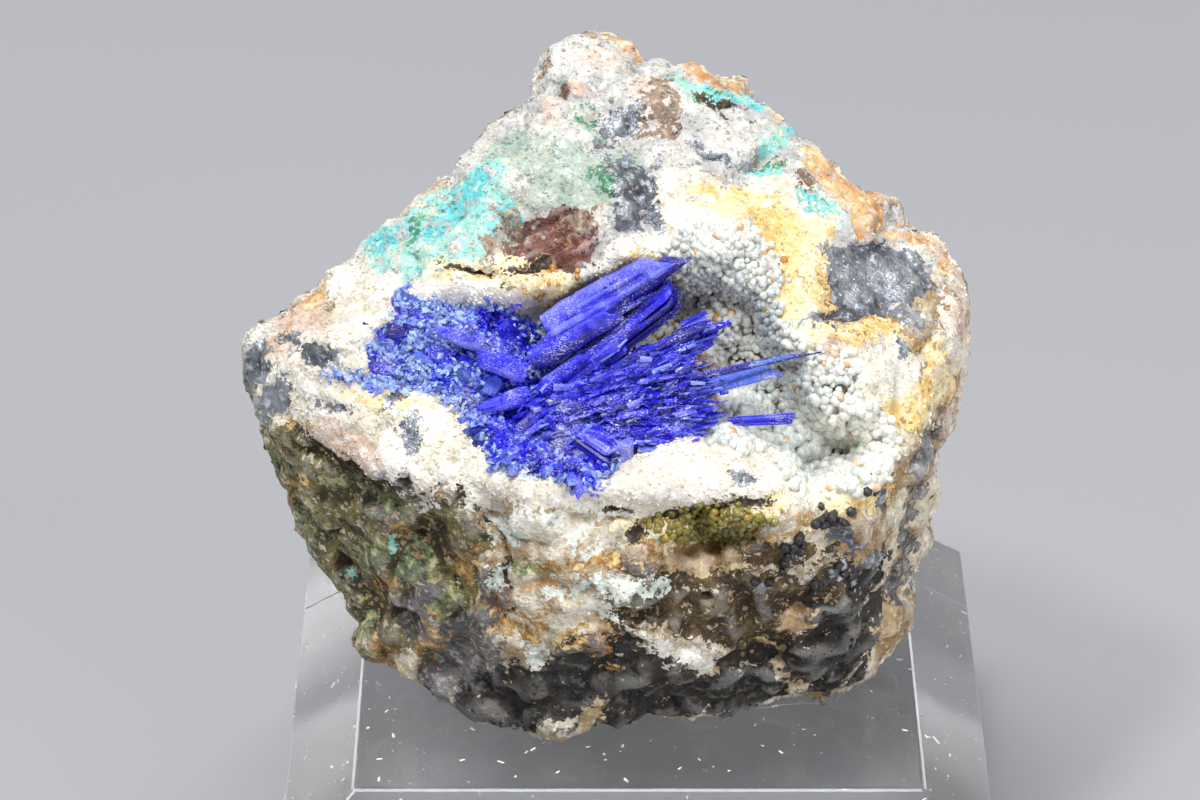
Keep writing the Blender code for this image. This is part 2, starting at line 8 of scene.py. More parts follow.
import bmesh
import bpy
import numpy as np
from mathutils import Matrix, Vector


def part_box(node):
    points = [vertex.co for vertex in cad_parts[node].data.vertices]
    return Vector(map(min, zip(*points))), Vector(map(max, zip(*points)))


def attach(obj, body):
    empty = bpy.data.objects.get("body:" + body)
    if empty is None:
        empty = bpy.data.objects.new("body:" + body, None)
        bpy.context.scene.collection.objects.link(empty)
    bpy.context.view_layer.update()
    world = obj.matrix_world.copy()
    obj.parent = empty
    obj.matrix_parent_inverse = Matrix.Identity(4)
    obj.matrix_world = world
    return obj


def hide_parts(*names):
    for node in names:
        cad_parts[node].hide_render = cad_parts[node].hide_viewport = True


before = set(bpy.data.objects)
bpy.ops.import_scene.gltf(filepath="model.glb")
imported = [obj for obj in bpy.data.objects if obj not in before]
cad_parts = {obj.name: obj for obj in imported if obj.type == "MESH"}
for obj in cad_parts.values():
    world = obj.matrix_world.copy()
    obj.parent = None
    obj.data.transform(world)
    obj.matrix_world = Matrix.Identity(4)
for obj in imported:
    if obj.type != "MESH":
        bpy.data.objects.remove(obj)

log = logging.getLogger("specimen")

MM = 0.001
BOX_MARGIN = 0.03
FULL_TURN = 6.28


# Places: the stand's own frame and the face of the stone as the viewer sees it.


class FaceFrame:
    """The stone's face in millimetres: x to the right, up along the face, out towards the viewer."""

    TILT = math.radians(26.5)
    EYE = (-2.05, 25.08, 308.05)
    PLANE = 21.0
    BACK_ENDS, FRONT_STARTS = 1.0, 5.0
    SHARPNESS = 3.0

    @classmethod
    def to_stand(cls, spots: np.ndarray) -> np.ndarray:
        """Turn face coordinates into the stand's frame.

        Args:
            spots: rows of x, up, out in millimetres.

        Returns:
            Rows of x, y, z in millimetres.
        """
        x, up, out = np.asarray(spots, float).T
        sine, cosine = math.sin(cls.TILT), math.cos(cls.TILT)
        return np.stack([x, up * sine - out * cosine, up * cosine + out * sine], axis=1)

    @classmethod
    def from_stand(cls, points: np.ndarray) -> np.ndarray:
        """Turn points of the stand's frame into face coordinates.

        Args:
            points: rows of x, y, z in millimetres.

        Returns:
            Rows of x, up, out in millimetres.
        """
        x, y, z = np.asarray(points, float).T
        sine, cosine = math.sin(cls.TILT), math.cos(cls.TILT)
        return np.stack([x, y * sine + z * cosine, z * sine - y * cosine], axis=1)

    @classmethod
    def sighted(cls, points: np.ndarray) -> np.ndarray:
        """Where the line of sight through each point crosses the face plane.

        Args:
            points: rows of x, y, z in millimetres.

        Returns:
            Rows of x, up in millimetres on the face plane.
        """
        spots = cls.from_stand(points)
        scale = (cls.EYE[2] - cls.PLANE) / (cls.EYE[2] - spots[:, 2])
        flat = np.array(cls.EYE[:2])
        return flat + (spots[:, :2] - flat) * scale[:, None]

    @classmethod
    def facing(cls, points: np.ndarray, normals: np.ndarray) -> np.ndarray:
        """How much a surface belongs to what the viewer sees.

        Args:
            points: rows of x, y, z in millimetres.
            normals: the unit normal at each point.

        Returns:
            From 0 where it faces away or lies at the back to 1 where it faces the viewer.
        """
        out = cls.from_stand(points)[:, 2]
        near = eased((out - cls.BACK_ENDS) / (cls.FRONT_STARTS - cls.BACK_ENDS))
        return eased(0.5 + normals @ cls.towards_eye() * cls.SHARPNESS) * near

    @classmethod
    def towards_eye(cls) -> np.ndarray:
        """The direction out of the face, in the stand's frame."""
        return np.array([0.0, -math.cos(cls.TILT), math.sin(cls.TILT)])


def eased(share: np.ndarray) -> np.ndarray:
    """A smooth step of a share held between 0 and 1."""
    held = np.clip(share, 0.0, 1.0)
    return held * held * (3.0 - 2.0 * held)


class Noise:
    """Repeatable noise over points, for shapes."""

    CORNERS = np.array([(i, j, k) for i in (0, 1) for j in (0, 1) for k in (0, 1)])
    AROUND = np.array([(i, j, k) for i in (-1, 0, 1) for j in (-1, 0, 1) for k in (-1, 0, 1)])
    PRIMES = (73856093, 19349663, 83492791)
    SALT_PRIME = 2654435761
    STIRS = ((15, 2246822519), (13, 3266489917))
    WORD, HALF_WORD = 0xFFFFFFFF, 0xFFFF
    SHIFT = 17.3

    @classmethod
    def chance(cls, cells: np.ndarray, salt: int) -> np.ndarray:
        """A repeatable chance from 0 to 1 for each lattice cell.

        Args:
            cells: whole numbers, three in each last row.
            salt: another salt gives other chances.

        Returns:
            One number for each cell.
        """
        mixed = salt * cls.SALT_PRIME
        for axis, prime in enumerate(cls.PRIMES):
            mixed = mixed ^ (cells[..., axis] * prime)
        mixed = mixed & cls.WORD
        for shift, stir in cls.STIRS:
            mixed = ((mixed ^ (mixed >> shift)) * stir) & cls.WORD
        return ((mixed ^ (mixed >> 16)) & cls.HALF_WORD) / float(cls.HALF_WORD)

    @classmethod
    def smooth(cls, points: np.ndarray, size: float, salt: int = 0, octaves: int = 1) -> np.ndarray:
        """Smooth noise from -1 to 1.

        Args:
            points: rows of coordinates.
            size: how far apart its hills are.
            salt: another salt gives another noise.
            octaves: how many layers, each half as wide and half as high.

        Returns:
            One number for each point.
        """
        total = np.zeros(len(points))
        weight, span = 0.0, 1.0
        for layer in range(octaves):
            place = points / size * 2.0**layer + cls.SHIFT * (layer + 1)
            base = np.floor(place).astype(np.int64)
            share = eased(place - base)
            value = np.zeros(len(points))
            for corner in cls.CORNERS:
                part = np.prod(np.where(corner, share, 1.0 - share), axis=1)
                value += part * cls.chance(base + corner, salt + layer)
            total += (value * 2.0 - 1.0) * span
            weight += span
            span *= 0.5
        return total / weight

    @classmethod
    def cells(cls, points: np.ndarray, size: float, salt: int = 0) -> tuple[np.ndarray, ...]:
        """Cell noise.

        Args:
            points: rows of coordinates.
            size: how far apart the cells are.
            salt: another salt gives other cells.

        Returns:
            The distances to the nearest and second centres in cell sizes, and the cell's chance.
        """
        place = points / size
        base = np.floor(place).astype(np.int64)
        near = np.full(len(points), 9.0)
        second = np.full(len(points), 9.0)
        chance = np.zeros(len(points))
        for step in cls.AROUND:
            cell = base + step
            centre = cell + np.stack([cls.chance(cell, salt + k) for k in (1, 2, 3)], axis=1)
            far = np.linalg.norm(place - centre, axis=1)
            closer = far < near
            second = np.where(closer, near, np.minimum(second, far))
            chance = np.where(closer, cls.chance(cell, salt + 4), chance)
            near = np.where(closer, far, near)
        return near, second, chance


# Shader building.


class Kind(Enum):
    """What a shader socket carries."""

    VALUE = auto()
    VECTOR = auto()
    COLOUR = auto()


class Socket:
    """One output of a shader node, so that shader maths reads as an expression."""

    def __init__(self, graph: "Graph", output: bpy.types.NodeSocket | None, kind: Kind) -> None:
        """Hold an output of a graph."""
        self.graph, self.output, self.kind = graph, output, kind

    def _with(self, other: "Side", operation: str, swapped: bool = False) -> "Socket":
        """Join this socket with another or with numbers.

        Args:
            other: the other side, a socket, a number or a row of numbers.
            operation: the name of the operation.
            swapped: true where the other side comes first.

        Returns:
            The result's socket.
        """
        first, second = (other, self) if swapped else (self, other)
        kinds = {side.kind for side in (self, other) if isinstance(side, Socket)}
        if Kind.COLOUR in kinds:
            settings = {"data_type": "RGBA", "blend_type": operation}
            sides = {0: 1.0, 6: self._wide(first, 4), 7: self._wide(second, 4)}
            return self.graph.node("ShaderNodeMix", settings, sides, 2, Kind.COLOUR)
        if Kind.VECTOR in kinds:
            sides = {0: self._wide(first, 3), 1: self._wide(second, 3)}
            return self.graph.node("ShaderNodeVectorMath", {"operation": operation}, sides, 0, Kind.VECTOR)
        return self.graph.node("ShaderNodeMath", {"operation": operation}, {0: first, 1: second})

    @staticmethod
    def _wide(side: "Side", width: int) -> "Socket | tuple[float, ...]":
        """A plain number repeated to a colour's or a vector's width."""
        return side if isinstance(side, (Socket, tuple)) else (side,) * min(width, 3) + (1.0,) * (width - 3)

    def __add__(self, other: "Side") -> "Socket":
        """The sum."""
        return self._with(other, "ADD")

    def __radd__(self, other: "Side") -> "Socket":
        """The sum, with the number first."""
        return self._with(other, "ADD", True)

    def __sub__(self, other: "Side") -> "Socket":
        """The difference."""
        return self._with(other, "SUBTRACT")

    def __rsub__(self, other: "Side") -> "Socket":
        """The difference, with the number first."""
        return self._with(other, "SUBTRACT", True)

    def __mul__(self, other: "Side") -> "Socket":
        """The product."""
        return self._with(other, "MULTIPLY")

    def __rmul__(self, other: "Side") -> "Socket":
        """The product, with the number first."""
        return self._with(other, "MULTIPLY", True)

    def step(self, low: float, high: float, start: float = 0.0, end: float = 1.0) -> "Socket":
        """A smooth step of a value.

        Args:
            low: where the step begins.
            high: where it ends.
            start: the result below it.
            end: the result above it.

        Returns:
            The result's socket.
        """
        settings = {"interpolation_type": "SMOOTHSTEP", "clamp": True}
        sides = {"Value": self, "From Min": low, "From Max": high, "To Min": start, "To Max": end}
        return self.graph.node("ShaderNodeMapRange", settings, sides)


Side = Socket | float | tuple[float, ...]


class Graph:
    """The shader nodes of one material."""

    def __init__(self, name: str) -> None:
        """Make an empty material."""
        self.material = bpy.data.materials.new(name)
        self.material.use_nodes = True
        self.tree = self.material.node_tree
        self.tree.nodes.clear()

    def node(
        self,
        kind: str,
        settings: dict | None = None,
        sides: dict | None = None,
        output: int | str = 0,
        carries: Kind = Kind.VALUE,
    ) -> Socket:
        """Make any node.

        Args:
            kind: the node's type.
            settings: its settings, which are set first.
            sides: its input values or links, by name or number.
            output: which output the socket holds.
            carries: what that output carries.

        Returns:
            A socket on the node's output.
        """
        made = self.tree.nodes.new(kind)
        for name, value in (settings or {}).items():
            setattr(made, name, value)
        for name, value in (sides or {}).items():
            if isinstance(value, Socket):
                self.tree.links.new(value.output, made.inputs[name])
            else:
                made.inputs[name].default_value = value
        return Socket(self, made.outputs[output] if made.outputs else None, carries)

    def value(self, name: str) -> Socket:
        """A value kept at each vertex of the mesh."""
        return self.node("ShaderNodeAttribute", {"attribute_name": name}, None, "Fac")

    def place(self) -> Socket:
        """The place on the object, in millimetres."""
        spot = self.node("ShaderNodeTexCoord", None, None, "Object", Kind.VECTOR)
        return spot * (1.0 / MM)

    def noise(self, place: Socket, size: float, detail: float = 2.0, rough: float = 0.5) -> Socket:
        """Smooth noise from 0 to 1.

        Args:
            place: where it is looked up.
            size: how far apart its hills are, in millimetres.
            detail: how many finer layers it has.
            rough: how strong the finer layers are.

        Returns:
            The noise as a value.
        """
        sides = {"Vector": place, "Scale": 1.0 / size, "Detail": detail, "Roughness": rough}
        return self.node("ShaderNodeTexNoise", None, sides, 0)

    def cells(self, place: Socket, size: float) -> Socket:
        """The distance to the nearest centre of cells that lie a size in millimetres apart."""
        return self.node("ShaderNodeTexVoronoi", None, {"Vector": place, "Scale": 1.0 / size}, "Distance")

    def chance(self, place: Socket, size: float) -> Socket:
        """A number from 0 to 1 for each of the cells that lie a size in millimetres apart."""
        sides = {"Vector": place, "Scale": 1.0 / size}
        colour = self.node("ShaderNodeTexVoronoi", None, sides, "Color", Kind.COLOUR)
        return self.node("ShaderNodeSeparateColor", None, {"Color": colour})

    def mix(self, share: Socket | float, first: object, second: object) -> Socket:
        """A colour between two colours.

        Args:
            share: how much of the second there is.
            first: a colour or its socket.
            second: a colour or its socket.

        Returns:
            The mixed colour.
        """
        sides = {0: share, 6: first, 7: second}
        return self.node("ShaderNodeMix", {"data_type": "RGBA"}, sides, 2, Kind.COLOUR)

    def blend(self, share: Socket | float, first: Socket | float, second: Socket | float) -> Socket:
        """A value between two values.

        Args:
            share: how much of the second there is.
            first: a value.
            second: a value.

        Returns:
            The mixed value.
        """
        return self.node("ShaderNodeMix", {"data_type": "FLOAT"}, {0: share, 2: first, 3: second}, 0)

    def bump(self, height: Socket, distance: float, strength: float = 1.0) -> Socket:
        """A bumped normal from a height.

        Args:
            height: the height from 0 to 1.
            distance: how high 1 is, in millimetres.
            strength: how much of it shows.

        Returns:
            The normal.
        """
        sides = {"Height": height, "Distance": distance * MM, "Strength": strength}
        return self.node("ShaderNodeBump", None, sides, 0, Kind.VECTOR)

    def surface(self, **sides: object) -> bpy.types.Material:
        """Close the material with a principled surface.

        Args:
            sides: its inputs, with an underscore for each blank.

        Returns:
            The finished material.
        """
        named = {name.replace("_", " "): value for name, value in sides.items()}
        shader = self.node("ShaderNodeBsdfPrincipled", None, named)
        self.node("ShaderNodeOutputMaterial", None, {"Surface": shader})
        return self.material


def paint(red: int, green: int, blue: int) -> tuple[float, float, float, float]:
    """A screen colour from 0 to 255 as the light it stands for."""
    def light(part: int) -> float:
        share = part / 255.0
        return share / 12.92 if share <= 0.04045 else ((share + 0.055) / 1.055) ** 2.4
    return (light(red), light(green), light(blue), 1.0)


# Minerals of the stone and fields of painted shade, and where they lie on its face.


class Relief(Enum):
    """How a mineral's surface stands."""

    DRUZY = auto()
    CRAGGY = auto()
    LUMPY = auto()
    STEPPED = auto()
    SUNKEN = auto()
    STRIATED = auto()
    SMOOTH = auto()


@dataclass(frozen=True)
class Mineral:
    """One mineral of the stone, or a field of painted shade.

    Its three screen colours lie in large fields, small fields and specks. Grain is how far
    single grains differ in brightness, ragged how uneven its border is, solid how little of what
    lies under it shows through, and streaks above 0 draws it out in fibres.
    """

    name: str
    main: tuple[int, int, int]
    second: tuple[int, int, int]
    specks: tuple[int, int, int]
    relief: Relief
    rough: float = 0.7
    metal: float = 0.0
    bump: float = 0.5
    grain: float = 0.12
    ragged: float = 1.0
    solid: float = 1.0
    streaks: float = 0.0


Ovals = tuple[tuple[float, ...], ...]


@dataclass(frozen=True)
class Patch:
    """An oval on the face, in millimetres, turned by degrees."""

    x: float
    up: float
    wide: float
    high: float
    turn: float = 0.0

    def inside(self, spots: np.ndarray) -> np.ndarray:
        """How far inside the oval each spot is.

        Args:
            spots: rows of x, up on the face plane.

        Returns:
            Millimetres, 0 on its edge and less outside.
        """
        turn = math.radians(self.turn)
        shift = spots - np.array([self.x, self.up])
        along = shift[:, 0] * math.cos(turn) + shift[:, 1] * math.sin(turn)
        across = shift[:, 1] * math.cos(turn) - shift[:, 0] * math.sin(turn)
        return (1.0 - np.hypot(along / self.wide, across / self.high)) * min(self.wide, self.high)

    @staticmethod
    def depth(ovals: Ovals, spots: np.ndarray) -> np.ndarray:
        """How far inside any of some ovals each spot is.

        Args:
            ovals: the values of each oval.
            spots: rows of x, up on the face plane.

        Returns:
            Millimetres, -1 at the least.
        """
        deep = np.full(len(spots), -1.0)
        for oval in ovals:
            deep = np.maximum(deep, Patch(*oval).inside(spots))
        return deep


@dataclass(frozen=True)
class Field:
    """A mineral with its ovals on the face and its share of the sides that face away."""

    mineral: Mineral
    ovals: Ovals
    away: float
    away_size: float = 5.0
    salt: int = 0

    def amount(self, points: np.ndarray, spots: np.ndarray, facing: np.ndarray) -> np.ndarray:
        """How far inside the mineral each point is.

        Args:
            points: rows of coordinates in the stand's frame.
            spots: rows of x, up where each point is seen on the face plane.
            facing: 1 where the surface faces the viewer, 0 where it faces away.

        Returns:
            Above 0 inside, below 0 outside, from -1 to the mineral's own solidness.
        """
        front = Patch.depth(self.ovals, spots)
        back = (Noise.smooth(points, self.away_size, self.salt + 50, 2) - self.away) * 3.0
        return np.clip(front * facing + back * (1.0 - facing), -1.0, self.mineral.solid)


FRONT = Mineral(
    "front", (228, 218, 196), (166, 138, 100), (246, 243, 234),
    Relief.LUMPY, bump=1.0, grain=0.2,
)
OLIVE = Mineral(
    "olive", (124, 112, 66), (62, 54, 32), (194, 178, 116),
    Relief.LUMPY, bump=1.0, grain=0.25, solid=0.25,
)
BROWN = Mineral(
    "brown", (98, 78, 48), (54, 42, 28), (134, 108, 68),
    Relief.CRAGGY, bump=1.0, grain=0.25, solid=0.25,
)
SLATE = Mineral(
    "slate", (122, 119, 118), (86, 84, 85), (168, 164, 160),
    Relief.CRAGGY, bump=0.9, grain=0.25, solid=0.3, streaks=1.0,
)
# Dark grey rock of the underside, partly painted shade where that face turns down; its two ovals along the
# crest are painted shadow under the ledge.
CHARCOAL_AND_SHADE = Mineral(
    "charcoal_and_shade", (54, 51, 48), (30, 28, 27), (98, 92, 84),
    Relief.CRAGGY, bump=1.0, grain=0.3, solid=0.4, streaks=1.0,
)
TAN = Mineral("tan", (198, 168, 124), (160, 128, 88), (226, 206, 168), Relief.CRAGGY, solid=0.25)
SAGE = Mineral("sage", (148, 146, 96), (104, 122, 84), (206, 200, 152), Relief.LUMPY, bump=1.0, solid=0.1)
MILK = Mineral(
    "milk", (240, 238, 226), (206, 216, 206), (249, 248, 242),
    Relief.LUMPY, bump=0.8, solid=0.15,
)
OCHRE = Mineral(
    "ochre", (194, 148, 78), (146, 98, 48), (224, 198, 140),
    Relief.LUMPY, bump=1.0, solid=0.05,
)
QUARTZ = Mineral(
    "quartz", (208, 205, 198), (182, 182, 180), (234, 230, 222),
    Relief.LUMPY, 0.45, solid=0.5,
)
WHITE = Mineral("white", (238, 233, 222), (220, 211, 194), (248, 247, 244), Relief.DRUZY)
BLUSH = Mineral("blush", (222, 202, 188), (206, 178, 156), (236, 226, 216), Relief.SMOOTH, 0.5, solid=0.3)
MINT = Mineral(
    "mint", (178, 190, 178), (152, 172, 160), (208, 212, 204),
    Relief.SMOOTH, grain=0.08, solid=0.5, ragged=0.7,
)
TURQUOISE = Mineral(
    "turquoise", (158, 214, 204), (98, 198, 204), (214, 220, 190),
    Relief.LUMPY, solid=0.16,
)
GREEN = Mineral("green", (84, 148, 112), (60, 116, 92), (128, 184, 142), Relief.CRAGGY, solid=0.05)
INCLUSION = Mineral(
    "inclusion", (122, 80, 72), (88, 56, 54), (170, 122, 106),
    Relief.STRIATED, solid=0.5, streaks=0.7, ragged=0.45,
)
UMBER = Mineral("umber", (146, 124, 106), (112, 90, 76), (188, 168, 146), Relief.CRAGGY, solid=0.1)
HONEY = Mineral("honey", (246, 228, 178), (234, 196, 122), (250, 242, 216), Relief.DRUZY, 0.5, solid=0.25)
RUST = Mineral("rust", (222, 180, 122), (194, 138, 84), (240, 216, 178), Relief.SMOOTH, 0.45, solid=0.3)
GALENA = Mineral(
    "galena", (142, 147, 155), (92, 97, 107), (190, 193, 198),
    Relief.STEPPED, 0.36, 0.4, grain=0.2, solid=0.3,
)
# Painted shadow: dark brown put under the crest's ledge and along the crack, where shade falls.
CREVICE_SHADOW = Mineral(
    "crevice_shadow", (60, 51, 43), (38, 33, 30), (98, 84, 68),
    Relief.SUNKEN, 0.85, ragged=0.6, solid=0.3,
)
# Painted shade: a darker floor in the vug so that the gaps between its grains read as shadow.
VUG_FLOOR_SHADE = Mineral(
    "vug_floor_shade", (140, 130, 126), (98, 84, 80), (186, 176, 164),
    Relief.SMOOTH, ragged=0.5,
)
AZURE = Mineral("azure", (84, 100, 224), (44, 44, 196), (176, 198, 240), Relief.DRUZY, solid=0.1)

